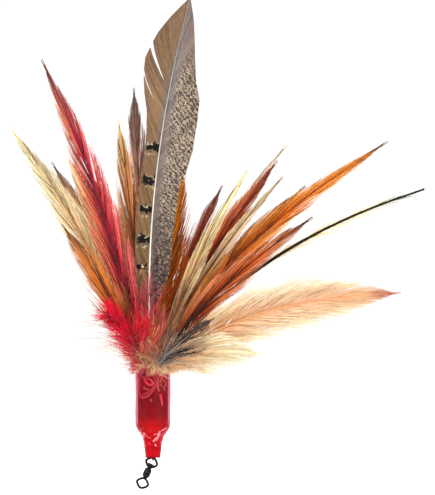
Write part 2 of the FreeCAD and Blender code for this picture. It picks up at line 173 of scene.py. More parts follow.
def modelStick(sides, cuts):
    # a round stick one unit long, cut into rings, that every barb or quill is a bent copy of
    bpy.ops.mesh.primitive_cylinder_add(vertices=sides, radius=1, depth=1)
    stick = bpy.context.active_object
    bpy.ops.object.mode_set(mode="EDIT")
    for cut in range(1, cuts):
        bpy.ops.mesh.select_all(action="SELECT")
        bpy.ops.mesh.bisect(plane_co=(0, 0, cut / cuts - 0.5), plane_no=(0, 0, 1))
    bpy.ops.object.mode_set(mode="OBJECT")
    corners = np.array([vertex.co for vertex in stick.data.vertices]) + (0, 0, 0.5)
    faces = [list(face.vertices) for face in stick.data.polygons]
    bpy.data.objects.remove(stick)
    return corners, faces


barbStick = modelStick(3, 5)
quillStick = modelStick(8, 28)
# how a CAD feather is read
reading = {
    "cuts": 26,
    "rounds": 4,  # of following its middle
    "within": 0.3,  # how far aside a cut looks, as a share of the length
    "rootDepth": 1 * mm,
    "leastSide": 1 * mm,
    "leastVane": 1.6 * mm,
}


def nodePoints(node):
    return np.array([vertex.co for vertex in nodes[node].data.vertices])


def cutPoints(points, ends, place, along, reach):
    # where a CAD mesh's edges cross a plane, within reach of the plane's own point
    height = (points - place) @ along
    first, second = height[ends[:, 0]], height[ends[:, 1]]
    crossed = (first > 0) != (second > 0)
    first, second, pair = first[crossed], second[crossed], ends[crossed]
    share = (first / (first - second))[:, None]
    hits = points[pair[:, 0]] * (1 - share) + points[pair[:, 1]] * share
    return hits[np.linalg.norm(hits - place, axis=1) < reach]


def unit(vectors):
    return vectors / np.maximum(np.linalg.norm(vectors, axis=-1, keepdims=True), 1e-12)


def smooth(values, rounds):
    for _ in range(rounds):
        middle = (values[:-2] + 2 * values[1:-1] + values[2:]) / 4
        values = np.concatenate([values[:1], middle, values[-1:]])
    return values


def readSpine(node, leftShare):
    # centreline, sides and half-widths of a feather, read from its CAD solid
    points = nodePoints(node)
    ends = np.array([edge.vertices for edge in nodes[node].data.edges])
    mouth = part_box("sleeve")[1].z
    level = np.array((0, 0, 1.0))
    root = cutPoints(points, ends, np.array((0, 0, mouth - reading["rootDepth"])), level, 1)
    root = (root.min(0) + root.max(0)) / 2
    tip = points[np.argmax(np.linalg.norm(points - root, axis=1))]
    count = reading["cuts"]
    shares = np.linspace(0, 1, count + 1)[:-1, None]
    centres = root + (tip - root) * shares
    centres = np.concatenate([centres, [tip]])
    straight = np.linalg.norm(tip - root)
    for _ in range(reading["rounds"]):
        along = unit(np.gradient(centres, axis=0))
        sideways = unit(np.cross(along, (0, 1.0, 0)))
        lefts, rights = centres.copy(), centres.copy()
        for i in range(1, count):
            hits = cutPoints(points, ends, centres[i], along[i], reading["within"] * straight)
            if len(hits) > 1:
                across = (hits - centres[i]) @ sideways[i]
                lefts[i] = hits[across.argmax()]
                rights[i] = hits[across.argmin()]
        moved = lefts + (rights - lefts) * leftShare
        moved[0], moved[-1] = root, tip
        centres = smooth(moved, 1)
    along = unit(np.gradient(centres, axis=0))
    sideways = unit(np.cross(along, (0, 1.0, 0)))
    steps = np.linalg.norm(np.diff(centres, axis=0), axis=1)
    spine = {"s": np.concatenate([[0], np.cumsum(steps)]), "centre": centres, "along": along}
    spine["length"] = spine["s"][-1]
    wideLeft = np.linalg.norm(lefts - centres, axis=1)
    wideRight = np.linalg.norm(rights - centres, axis=1)
    sheetLeft = np.where(wideLeft[:, None] > reading["leastSide"], unit(lefts - centres), sideways)
    sheetRight = np.where(wideRight[:, None] > reading["leastSide"], unit(rights - centres), -sideways)
    spine["left"] = unit(smooth(sheetLeft, 3))
    spine["right"] = unit(smooth(sheetRight, 3))
    spine["front"] = unit(np.cross(spine["left"] - spine["right"], along))
    spine["wideLeft"], spine["wideRight"] = smooth(wideLeft, 1), smooth(wideRight, 1)
    vane = np.nonzero(wideLeft + wideRight > reading["leastVane"])[0]
    spine["vane"] = spine["s"][vane[0]]
    return spine


def at(spine, key, s):
    values = spine[key]
    inside = np.clip(s, 0, spine["length"])
    if values.ndim == 1:
        return np.interp(inside, spine["s"], values)
    found = np.stack([np.interp(inside, spine["s"], values[:, i]) for i in range(3)], axis=-1)
    if key == "centre":
        found = found + (s - inside)[..., None] * spine["along"][-1]
    return found


def bendBarbs(spine, side, barbs):
    # one bent copy of the stick for each barb
    corners, faces = barbStick
    t = corners[:, 2]
    s = barbs["root"][:, None] + barbs["reach"][:, None] * t
    out = barbs["span"][:, None] * (1 - (1 - t) ** barbs["bow"])
    along = at(spine, "along", s)
    front = at(spine, "front", s)
    outward = at(spine, side, s)
    angle = barbs["angle"][:, None, None]
    outward = outward * np.cos(angle) + front * np.sin(angle)
    widest = max(spine["wide" + side.title()].max(), reading["leastSide"])
    lift = barbs["lift"][:, None] * t ** barbs["liftPower"] - barbs["camber"] * out ** 2 / widest
    curl = barbs["curl"][:, None] * t
    twist = barbs["twist"][:, None]
    wave = curl * np.sin(twist + barbs["waves"] * t)
    drift = curl * np.cos(twist * 2 + barbs["waves"] * t)
    place = at(spine, "centre", s) + outward * out[..., None] + front * lift[..., None]
    place = place + np.cross(outward, along) * wave[..., None] + along * drift[..., None]
    run = unit(along * barbs["reach"][:, None, None] + outward * barbs["span"][:, None, None])
    broad = unit(np.cross(front, run))
    flat = np.cross(run, broad)
    taper = 1 - barbs["fine"] * t ** barbs["finePower"]
    place = place + broad * (corners[:, 0] * taper * barbs["half"])[..., None]
    place = place + flat * (corners[:, 1] * taper * barbs["thick"])[..., None]
    sign = -1 if side == "left" else 1
    across = 0.5 + sign * 0.5 * np.clip(out / widest, 0, 1)
    vaneMap = np.stack([across, np.clip(s / spine["length"], 0, 1)], axis=-1)
    shades = np.broadcast_to(barbs["shade"][:, None], s.shape)
    barbMap = np.stack([np.broadcast_to(t, s.shape), shades], axis=-1)
    count = len(barbs["root"])
    step = len(corners)
    allFaces = [[corner + step * i for corner in face] for i in range(count) for face in faces]
    return place.reshape(-1, 3), allFaces, vaneMap.reshape(-1, 2), barbMap.reshape(-1, 2)


def bendQuill(spine, look, depth):
    # the shaft, from the potting up to the tip
    corners, faces = quillStick
    t = corners[:, 2]
    s = t * (spine["length"] + depth) - depth
    inside = np.maximum(s, 0)
    centre = at(spine, "centre", inside)
    centre[:, 2] += np.minimum(s, 0)
    radius = look["quill"] * (1 - (1 - look["quillTip"]) * np.clip(inside / spine["length"], 0, 1) ** 0.8)
    across = at(spine, "left", inside)
    front = at(spine, "front", inside)
    place = centre + across * (corners[:, 0] * radius)[:, None] + front * (corners[:, 1] * radius)[:, None]
    vaneMap = np.stack([np.full_like(t, 0.5), np.clip(s / spine["length"], 0, 1)], axis=-1)
    barbMap = np.stack([t, np.full_like(t, 0.5)], axis=-1)
    return place, faces, vaneMap, barbMap


def joinParts(name, parts, materials):
    # parts: (points, faces, vane map, barb map, number of its material)
    points = np.concatenate([part[0] for part in parts])
    faces, slots, base = [], [], 0
    for part in parts:
        faces += [[corner + base for corner in face] for face in part[1]] if base else part[1]
        slots += [part[4]] * len(part[1])
        base += len(part[0])
    mesh = bpy.data.meshes.new(name)
    mesh.from_pydata(points.tolist(), [], faces)
    loops = np.empty(len(mesh.loops), int)
    mesh.loops.foreach_get("vertex_index", loops)
    for number, layer in ((2, "vane"), (3, "barb")):
        values = np.concatenate([part[number] for part in parts])
        mesh.uv_layers.new(name=layer).data.foreach_set("uv", values[loops].ravel())
    mesh.polygons.foreach_set("material_index", slots)
    mesh.polygons.foreach_set("use_smooth", [True] * len(slots))
    for material in materials:
        mesh.materials.append(material)
    mesh.update()
    piece = bpy.data.objects.new(name, mesh)
    bpy.context.scene.collection.objects.link(piece)
    return piece


# spacing: from barb to barb. half, thick: a barb's half-width and half-depth. fine: how much it tapers.
# reach: how far it runs up the shaft. bow: how fast it leaves it. clump: how far a group draws together.
# lift, camber, turn, curl: how it leaves the vane's plane. value: its darkest and lightest shade.
kinds = {
    "vane": {
        "spacing": 0.2 * mm, "half": 0.28 * mm, "thick": 0.05 * mm, "fine": 0.4, "reach": 15 * mm,
        "bow": 1.2, "rough": 0.003, "clump": 0.0, "group": 14, "lift": 0.08 * mm, "camber": 0.14,
        "turn": 0.005, "curl": 0.02 * mm, "contrast": 0.12, "jitter": 0.1, "value": (0.6, 1.42),
    },
    "hackle": {
        "spacing": 0.27 * mm, "half": 0.15 * mm, "thick": 0.07 * mm, "fine": 0.7, "reach": 23 * mm,
        "bow": 1.35, "rough": 0.2, "clump": 0.42, "group": 11, "lift": 1.1 * mm, "camber": 0.1,
        "turn": 0.15, "curl": 0.14 * mm, "contrast": 0.28, "strays": 0.05, "value": (0.3, 1.62),
    },
    "plume": {
        "spacing": 0.12 * mm, "half": 0.14 * mm, "thick": 0.06 * mm, "fine": 0.75, "reach": 22 * mm,
        "bow": 1.3, "rough": 0.16, "clump": 0.2, "group": 9, "lift": 1.2 * mm, "camber": 0.1,
        "turn": 0.15, "curl": 0.3 * mm, "contrast": 0.1, "value": (0.74, 1.28),
    },
    "marabou": {
        "spacing": 0.11 * mm, "half": 0.13 * mm, "thick": 0.08 * mm, "fine": 0.7, "reach": 9 * mm,
        "bow": 1.2, "rough": 0.35, "clump": 0.5, "group": 7, "lift": 2.0 * mm, "camber": 0.0,
        "turn": 0.9, "curl": 1.3 * mm, "contrast": 0.25, "value": (0.45, 1.5), "least": 3.5 * mm,
    },
    "fluff": {
        "spacing": 0.05 * mm, "half": 0.13 * mm, "thick": 0.08 * mm, "fine": 0.7, "reach": 4 * mm,
        "bow": 1.1, "rough": 0.9, "clump": 0.3, "group": 6, "lift": 3.0 * mm, "camber": 0.0,
        "turn": 1.3, "curl": 1.3 * mm, "contrast": 0.25, "value": (0.45, 1.5), "least": 3.5 * mm,
    },
    "quill": {
        "spacing": 0.8 * mm, "half": 0.1 * mm, "thick": 0.05 * mm, "fine": 0.7, "reach": 9 * mm,
        "bow": 1.2, "rough": 0.3, "clump": 0.5, "group": 5, "lift": 0.6 * mm, "camber": 0.0,
        "turn": 0.2, "curl": 0.3 * mm, "contrast": 0.15, "value": (0.7, 1.3),
    },
}
# what a barb has unless its kind says otherwise
plainBarb = {
    "jitter": 0.4, "waves": 4.5, "liftPower": 1.5, "finePower": 1.3,
    "least": 0.25 * mm,  # shortest span
    "strays": 0.0,  # share that is far lighter, and as many far darker
}
# soft barbs at the foot of every feather
down = {
    **plainBarb,
    "spacing": 0.22 * mm, "half": 0.11 * mm, "thick": 0.06 * mm, "fine": 0.7, "reach": 8 * mm,
    "bow": 1.1, "rough": 0.3, "clump": 0.4, "group": 6, "lift": 1.2 * mm, "camber": 0.0,
    "turn": 1.1, "curl": 0.7 * mm, "span": 5.5 * mm, "contrast": 0.2,
}


# unevenness of a barb: the part it shares with its group, and its own
uneven = {"reach": (0.7, 0.5), "span": (0.8, 0.6), "angle": (0.6, 0.7), "lift": (0.5, 0.6), "ownShade": 0.15}


def growBarbs(spine, side, kind, start, stop, spanOf, splits=()):
    count = max(2, int((stop - start) / kind["spacing"]))
    root = np.linspace(start, stop, count) + draw.normal(0, kind["spacing"] * kind["jitter"], count)
    group = (np.arange(count) + draw.integers(0, kind["group"])) // kind["group"]
    groups = group.max() + 1
    shift = draw.normal(0, 1, (groups, 3))[group]
    own = draw.normal(0, 1, (count, 3))

    def vary(what, column):
        shared, alone = uneven[what]
        return shared * shift[:, column] + alone * own[:, column]

    mean = np.bincount(group, root, groups) / np.maximum(np.bincount(group, minlength=groups), 1)
    free = spine["length"] - root
    reach = np.minimum(kind["reach"], free * 0.92 + 1 * mm)  # shorter where little shaft is left
    reach = reach * (1 + kind["rough"] * vary("reach", 0))
    reach = reach + (mean[group] - root) * kind["clump"]
    for share, opening, width in splits:
        gap = root + reach - share * spine["length"]
        reach = reach + np.sign(gap) * opening * np.clip(1 - np.abs(gap) / width, 0, 1)
    reach = np.clip(reach, 1 * mm, np.maximum(free + 2 * mm, 1.2 * mm))
    span = spanOf(root, reach)
    span = span * np.clip(1 + kind["rough"] * vary("span", 1), 0.3, 1.45)
    shade = np.clip(0.5 + uneven["ownShade"] * own[:, 0] + kind["contrast"] * shift[:, 0], 0.02, 0.98)
    chance = draw.random(count)
    shade = np.where(chance < kind["strays"], 0.0, np.where(chance > 1 - kind["strays"], 1.0, shade))
    flatter = np.clip(span / max(span.max(), 1 * mm), 0.12, 1)
    sharedLift, ownLift = uneven["lift"]
    barbs = {
        **kind,
        "root": root,
        "reach": reach,
        "span": span,
        "angle": kind["turn"] * vary("angle", 2),
        "lift": kind["lift"] * flatter * (draw.normal(0, ownLift, count) + sharedLift * shift[:, 2]),
        "curl": kind["curl"] * flatter * np.abs(draw.normal(0.8, 0.5, count)),
        "twist": draw.uniform(0, 2 * math.pi, count),
        "shade": shade,
    }
    return bendBarbs(spine, side, barbs)


# stops: colour along the feather. right: the same for its right vane, where that differs.
# edge: colour at the barbs' ends. centre: colour beside the shaft, as wide as centreBand. shaft: its own.
# wide: share of the CAD feather's width. quill: the shaft's radius. forward: how far it comes to the front.
# rich: how strong its colours are. leftShare: the left vane's share of the width.
usual = {
    "kind": "hackle", "leftShare": 0.5, "quill": 0.35 * mm, "quillTip": 0.25, "rich": 1.07, "sheen": 0.1,
    "shine": 0.3, "centreBand": 0.22, "forward": 0, "shorter": 1, "splits": (),
}
feathers = {
    "pheasant_feather": {
        "kind": "vane", "leftShare": 7 / 18, "rich": 1.18, "sheen": 0.03, "down": "red",
        "finish": "barred pheasant vane",
        "stops": [(0.0, "#5b4634"), (0.35, "#826a4c"), (0.7, "#937860"), (1.0, "#7c6654")],
        "right": [(0.0, "#473a38"), (0.35, "#6b5f5d"), (0.6, "#8d8280"), (1.0, "#857a76")],
        "edge": "#866a5a", "centre": "#8b8078", "shaft": ("#efe6d2", "#8c8684"),
        "quill": 0.42 * mm, "quillTip": 0.3,
        # gaps in the left vane: place along it, opening, and how far the barbs beside it give way
        "splits": ((0.71, 1.6 * mm, 5 * mm), (0.79, 1.0 * mm, 4 * mm), (0.865, 1.1 * mm, 4 * mm)),
        # width of each vane in mm, at places along the feather
        "profiles": {
            "left": (
                (0, 2.0), (0.16, 4.2), (0.37, 5.4), (0.52, 5.3), (0.6, 4.6), (0.69, 6.2), (0.74, 8.2),
                (0.79, 9.8), (0.83, 10.3), (0.863, 9.2), (0.9, 7.8), (0.94, 5.2), (0.98, 2.0), (1, 0.3),
            ),
            "right": (
                (0, 2.0), (0.1, 3.6), (0.22, 6.2), (0.33, 7.4), (0.5, 8.4), (0.56, 10.4), (0.61, 11.4),
                (0.69, 11.4), (0.745, 10.9), (0.8, 8.2), (0.9, 4.9), (0.95, 3.0), (1, 0.3),
            ),
        },
    },
    "mauve_feather": {
        "wide": 0.95, "down": "red", "finish": "brown-mauve hackle",
        "stops": [(0.0, "#6a3426"), (0.4, "#86503f"), (0.8, "#8d6355"), (1.0, "#5c4a46")],
        "edge": "#a98474", "centre": "#6e4438", "shaft": ("#6a4a3c", "#2e2b2c"),
    },
    "tan_spear": {
        "wide": 0.85, "down": "red", "finish": "tan spear hackle",
        "stops": [(0.0, "#8e3c20"), (0.4, "#b06a40"), (0.8, "#bf8258"), (1.0, "#e6c684")],
        "edge": "#d9a67a", "centre": "#96502e", "shaft": ("#8c4a2c", "#6a4228"),
    },
    "red_hackle": {
        "wide": 0.8, "rich": 1.0, "down": "red", "finish": "dyed red hackle", "centreBand": 0.42,
        "stops": [
            (0.0, "#9c1226"), (0.45, "#cc4038"), (0.75, "#c03a3c"), (0.88, "#7c1226"), (1.0, "#3c0a18"),
        ],
        "right": [
            (0.0, "#b01428"), (0.45, "#cc2c3c"), (0.75, "#c42a40"), (0.88, "#7c1226"), (1.0, "#3c0a18"),
        ],
        "edge": "#f0966a", "rightEdge": "#ee7c74", "centre": "#8a0a26",
        "shaft": ("#6c0a1e", "#2a0a10"), "quill": 0.45 * mm,
    },
    "cream_hackle": {
        "wide": 0.5, "rich": 0.82, "leftShare": 9 / 17, "down": "golden", "finish": "cream hackle",
        "stops": [(0.0, "#8c3c1c"), (0.25, "#b46a34"), (0.45, "#dca85c"), (1.0, "#efdc98")],
        "edge": "#f5e3ac", "centre": "#c88c48", "shaft": ("#8a4424", "#b89c60"),
    },
    "tan_hackle": {
        "wide": 0.75, "rich": 0.96, "down": "red", "finish": "tan hackle",
        "stops": [(0.0, "#96421f"), (0.4, "#c0713c"), (0.8, "#cf9560"), (1.0, "#3c3230")],
        "edge": "#e3b286", "centre": "#9c5028", "shaft": ("#8a4422", "#2c2624"),
    },
    "orange_hackle": {
        "wide": 0.75, "rich": 0.98, "down": "red", "finish": "orange hackle",
        "stops": [(0.0, "#a43a1c"), (0.4, "#d2703e"), (0.8, "#dd9058"), (1.0, "#e8cc94")],
        "edge": "#efb487", "centre": "#b4502c", "shaft": ("#9c3c1e", "#8c6c48"),
    },
    "rust_spear": {
        "wide": 0.9, "down": "red", "finish": "rust spear hackle",
        "stops": [(0.0, "#8a1a1c"), (0.4, "#a8502c"), (0.8, "#b96a3a"), (1.0, "#2e2828")],
        "edge": "#d8965e", "centre": "#6e2c1a", "shaft": ("#6e2418", "#1e1a1a"),
    },
    "amber_hackle": {
        "wide": 1.1, "down": "brown", "finish": "amber hackle",
        "stops": [(0.0, "#5c2014"), (0.4, "#a4502a"), (0.75, "#cf762e"), (1.0, "#d88638")],
        "edge": "#9c4c24", "centre": "#d88038", "shaft": ("#5a2416", "#7c4420"),
    },
    "maroon_hackle": {
        "wide": 0.8, "down": "brown", "finish": "maroon hackle",
        "stops": [(0.0, "#6c3018"), (0.35, "#a4583c"), (0.7, "#8e3424"), (1.0, "#5c1c18")],
        "edge": "#c07c5c", "centre": "#6c2016", "shaft": ("#5a2418", "#2c1412"),
    },
    "straw_hackle": {
        "wide": 0.36, "rich": 0.94, "down": "brown", "finish": "straw hackle",
        "stops": [
            (0.0, "#6c3018"), (0.35, "#a4623a"), (0.52, "#dcae70"), (0.8, "#f2d898"), (1.0, "#e8dca6"),
        ],
        "edge": "#f0d8a0", "centre": "#b08048", "shaft": ("#5c2c1a", "#94784c"), "quill": 0.32 * mm,
    },
    "auburn_hackle": {
        "wide": 0.62, "down": "brown", "finish": "auburn hackle",
        "stops": [(0.0, "#6c3220"), (0.4, "#9c4a2c"), (0.8, "#a4391f"), (1.0, "#6c2418")],
        "edge": "#dc8c68", "centre": "#7c2a18", "shaft": ("#4a1c12", "#3c1812"),
    },
    "fawn_hackle": {
        "wide": 0.32, "rich": 0.96, "down": "brown", "finish": "fawn hackle",
        "stops": [(0.0, "#6c3018"), (0.4, "#b8744a"), (0.8, "#ecc894"), (1.0, "#7c5c3c")],
        "edge": "#f4dcb0", "centre": "#8c5434", "shaft": ("#24140f", "#2c2018"), "quill": 0.42 * mm,
    },
    "pale_hackle": {
        "wide": 0.4, "rich": 0.92, "down": "brown", "finish": "pale hackle",
        "stops": [(0.0, "#8a4c2c"), (0.4, "#d8a070"), (0.75, "#ecb4a0"), (1.0, "#b4a680")],
        "edge": "#f8ecc8", "centre": "#cc9a6c", "shaft": ("#6c4028", "#8c7c58"), "quill": 0.3 * mm,
    },
    "umber_hackle": {
        "wide": 0.55, "down": "brown", "finish": "umber hackle", "forward": 1.5 * mm,
        "stops": [(0.0, "#5c2414"), (0.4, "#8c4222"), (0.8, "#8a3c20"), (1.0, "#1e1514")],
        "edge": "#d08850", "centre": "#441810", "shaft": ("#2c1410", "#181010"), "quill": 0.42 * mm,
    },
    "long_orange_hackle": {
        "wide": 0.5, "down": "brown", "finish": "long orange hackle",
        "stops": [(0.0, "#6c2c18"), (0.35, "#a04420"), (0.6, "#c8642a"), (0.9, "#d87c3c"), (1.0, "#3c3028")],
        "edge": "#f0b070", "centre": "#a8461c", "shaft": ("#58220f", "#3c3028"), "quill": 0.4 * mm,
    },
    "rust_hackle": {
        "wide": 0.68, "down": "brown", "finish": "rust hackle",
        "stops": [(0.0, "#42221e"), (0.35, "#84341e"), (0.7, "#b04c2a"), (1.0, "#1c1413")],
        "edge": "#e09a70", "centre": "#4c1a10", "shaft": ("#1e100c", "#141010"), "quill": 0.5 * mm,
    },
    "black_quill": {
        "wide": 1.0, "kind": "quill", "leftShare": 1.2 / 3.4, "down": "brown",
        "finish": "stripped black quill",
        "stops": [(0.0, "#d8904c"), (0.5, "#f0d08c"), (0.8, "#f2e2ae"), (0.93, "#75797e"), (1.0, "#8a8c8e")],
        "edge": "#f4e6b4", "centre": "#cfa868", "shaft": ("#1a100c", "#0c0a09"), "quill": 0.85 * mm,
        "quillTip": 0.4, "shine": 0.12,
    },
    "peach_plume": {
        "wide": 1.1, "rich": 1.04, "kind": "plume", "down": "cream", "finish": "peach plume",
        "stops": [
            (0.0, "#c87c38"), (0.16, "#eab07c"), (0.6, "#f6ceaa"), (0.88, "#eca878"), (1.0, "#b84c40"),
        ],
        "edge": "#fbf0cc", "centre": "#f2bc8c", "shaft": ("#e0a468", "#dc8468"), "quill": 0.38 * mm,
    },
    "cream_plume": {
        "wide": 1.15, "rich": 0.98, "kind": "plume", "down": "cream", "finish": "cream plume",
        "stops": [(0.0, "#d08c4c"), (0.3, "#eebc88"), (1.0, "#f8e8bc")],
        "edge": "#faf0cc", "centre": "#e6ac74", "shaft": ("#d4965c", "#f0d8a8"), "quill": 0.33 * mm,
    },
    "slate_feather": {
        "wide": 1.35, "forward": 9 * mm, "sheen": 0.02, "down": "slate", "finish": "slate covert",
        "stops": [(0.0, "#120b0a"), (0.5, "#2c2021"), (1.0, "#3a2c2c")],
        "edge": "#6e5a4e", "centre": "#1a1212", "shaft": ("#c8b49c", "#5c4c48"), "quill": 0.28 * mm,
    },
    "gold_fluff": {
        "wide": 1.3, "rich": 1.04, "kind": "fluff", "down": "golden", "finish": "golden fluff",
        "stops": [
            (0.0, "#b87c3a"), (0.3, "#dba662"), (0.55, "#d85c4c"), (0.75, "#c41628"), (1.0, "#c01024"),
        ],
        "edge": "#ea8c68", "centre": "#b4783c", "shaft": ("#c89454", "#b01424"), "quill": 0.3 * mm,
    },
    "red_marabou": {
        "wide": 1.25, "wideLeft": 0.75, "shorter": 0.82, "rich": 1.25, "kind": "marabou", "down": "red",
        "finish": "dyed red marabou",
        "stops": [(0.0, "#a80c1e"), (0.5, "#c4142a"), (1.0, "#d01e34")],
        "edge": "#ec6470", "centre": "#a00a1e", "shaft": ("#8c0c1c", "#b01424"),
    },
    "back_ginger": {
        "wide": 0.95, "down": "red", "finish": "ginger hackle",
        "stops": [(0.0, "#a4502a"), (0.5, "#c06c38"), (1.0, "#8c4c2c")],
        "edge": "#dca070", "centre": "#94441f", "shaft": ("#7c3c1e", "#3c2820"),
    },
    "back_rust": {
        "wide": 0.95, "down": "red", "finish": "brick hackle",
        "stops": [(0.0, "#8a2c1c"), (0.5, "#a4482a"), (1.0, "#7c3420")],
        "edge": "#cc7c50", "centre": "#7c2c18", "shaft": ("#6a2416", "#2c1a16"),
    },
    "back_brown": {
        "wide": 0.9, "down": "brown", "finish": "brown hackle",
        "stops": [(0.0, "#5c3020"), (0.5, "#80482c"), (1.0, "#5c3a28")],
        "edge": "#a8704c", "centre": "#542a1a", "shaft": ("#4a2618", "#241814"),
    },
    "back_tan": {
        "wide": 0.85, "down": "golden", "finish": "sandy hackle",
        "stops": [(0.0, "#b4743c"), (0.5, "#d0a064"), (1.0, "#b08858")],
        "edge": "#ecca94", "centre": "#a87440", "shaft": ("#94602f", "#6a4c2f"),
    },
}


def barbMaterial(look):
    # keratin barbs: soft, silky and a little uneven in dye, each barb its own shade
    material, tree, shader = newMaterial(look["finish"] + " barbs")
    vane = addNode(tree, "UVMap", {"uv_map": "vane"})
    vaneAxes = addNode(tree, "SeparateXYZ", links={0: vane})
    barb = addNode(tree, "UVMap", {"uv_map": "barb"})
    barbAxes = addNode(tree, "SeparateXYZ", links={0: barb})
    place = addNode(tree, "TexCoord")
    # dye blotches about 5 mm across
    blotch = addNode(
        tree, "TexNoise", {"Scale": 1 / (5 * mm), "Detail": 2.0}, {"Vector": place.outputs["Object"]}
    )
    wander = addNode(tree, "MapRange", {3: -0.07, 4: 0.07}, {0: blotch.outputs["Fac"]})
    shifted = addNode(tree, "Math", {"operation": "ADD"}, {0: vaneAxes.outputs["Y"], 1: wander})
    body = setRamp(addNode(tree, "ValToRGB", links={0: shifted}), look["stops"])
    ends = addNode(tree, "MapRange", {1: 0.25, 2: 1.0, 3: 0.0, 4: 0.75}, {0: barbAxes.outputs["X"]})
    tipward = addNode(tree, "MapRange", {1: 0.8, 2: 0.97, 3: 1.0, 4: 0.25}, {0: vaneAxes.outputs["Y"]})
    fade = addNode(tree, "Math", {"operation": "MULTIPLY"}, {0: ends, 1: tipward})
    edge = addNode(tree, "Mix", {"data_type": "RGBA", 7: colour(look["edge"])}, {0: fade, 6: body})
    painted = edge.outputs[2]
    if "right" in look:
        onRight = addNode(tree, "Math", {"operation": "GREATER_THAN", 1: 0.5}, {0: vaneAxes.outputs["X"]})
        rightBody = setRamp(addNode(tree, "ValToRGB", links={0: shifted}), look["right"])
        rightTip = colour(look.get("rightEdge", look["edge"]))
        rightEdge = addNode(
            tree, "Mix", {"data_type": "RGBA", 7: rightTip}, {6: rightBody, 0: fade}
        )
        bothSides = addNode(
            tree, "Mix", {"data_type": "RGBA"},
            {0: onRight, 6: painted, 7: rightEdge.outputs[2]},
        )
        painted = bothSides.outputs[2]
    band = look["centreBand"]
    nearShaft = addNode(
        tree, "MapRange", {1: 0.4 * band, 2: band, 3: 0.8, 4: 0.0}, {0: barbAxes.outputs["X"]}
    )
    centre = addNode(
        tree, "Mix", {"data_type": "RGBA", 7: colour(look["centre"])}, {0: nearShaft, 6: painted}
    )
    painted = centre.outputs[2]
    if look["kind"] == "vane":
        painted = pheasantPattern(tree, vaneAxes, painted)
    # each barb a little lighter or darker than the next, with fine streaks along it
    streakAt = addNode(tree, "CombineXYZ", links={0: barbAxes.outputs["X"], 1: barbAxes.outputs["Y"]})
    streak = addNode(tree, "TexNoise", {"Scale": 9.0, "Detail": 1.0}, {"Vector": streakAt})
    lightness = addNode(
        tree, "Math", {"operation": "ADD"}, {0: streak.outputs["Fac"], 1: barbAxes.outputs["Y"]}
    )
    dark, light = kinds[look["kind"]]["value"]
    value = addNode(tree, "MapRange", {1: 0.5, 2: 1.5, 3: dark, 4: light}, {0: lightness})
    shade = addNode(tree, "HueSaturation", {"Saturation": look["rich"]}, {"Color": painted, "Value": value})
    # barbules are 0.03 mm apart; drawn ten times as coarse so that they show
    ridges = addNode(
        tree, "TexNoise", {"Scale": 1 / (0.3 * mm), "Detail": 1.0}, {"Vector": place.outputs["Object"]}
    )
    bump = addNode(
        tree, "Bump", {"Strength": 0.25, "Distance": 0.05 * mm}, {"Height": ridges.outputs["Fac"]}
    )
    setNode(
        tree, shader,
        {
            "Roughness": 0.55, "Specular IOR Level": 0.1, "Sheen Weight": look["sheen"],
            "Sheen Roughness": 0.4,
        },
        {"Base Color": shade, "Normal": bump},
    )
    return material


# black bars beside the shaft, and fine wavy lines on the right vane
pheasant = {
    "bars": (0.285, 0.358, 0.436, 0.514, 0.6),  # places along the feather
    "barHalf": 0.0098,
    "barEdge": 0.0015,
    "firstBar": 0.45,  # the lowest bar's share of the others' width
    "speckReach": 0.006,
    "barInk": "#080606",
    "netInk": "#1f181a",
    "speck": "#e6d6b4",
    "waveSpacing": 1.0,  # mm
    "vaneSize": (22.0, 131.0),  # mm across and along, that the map covers
}


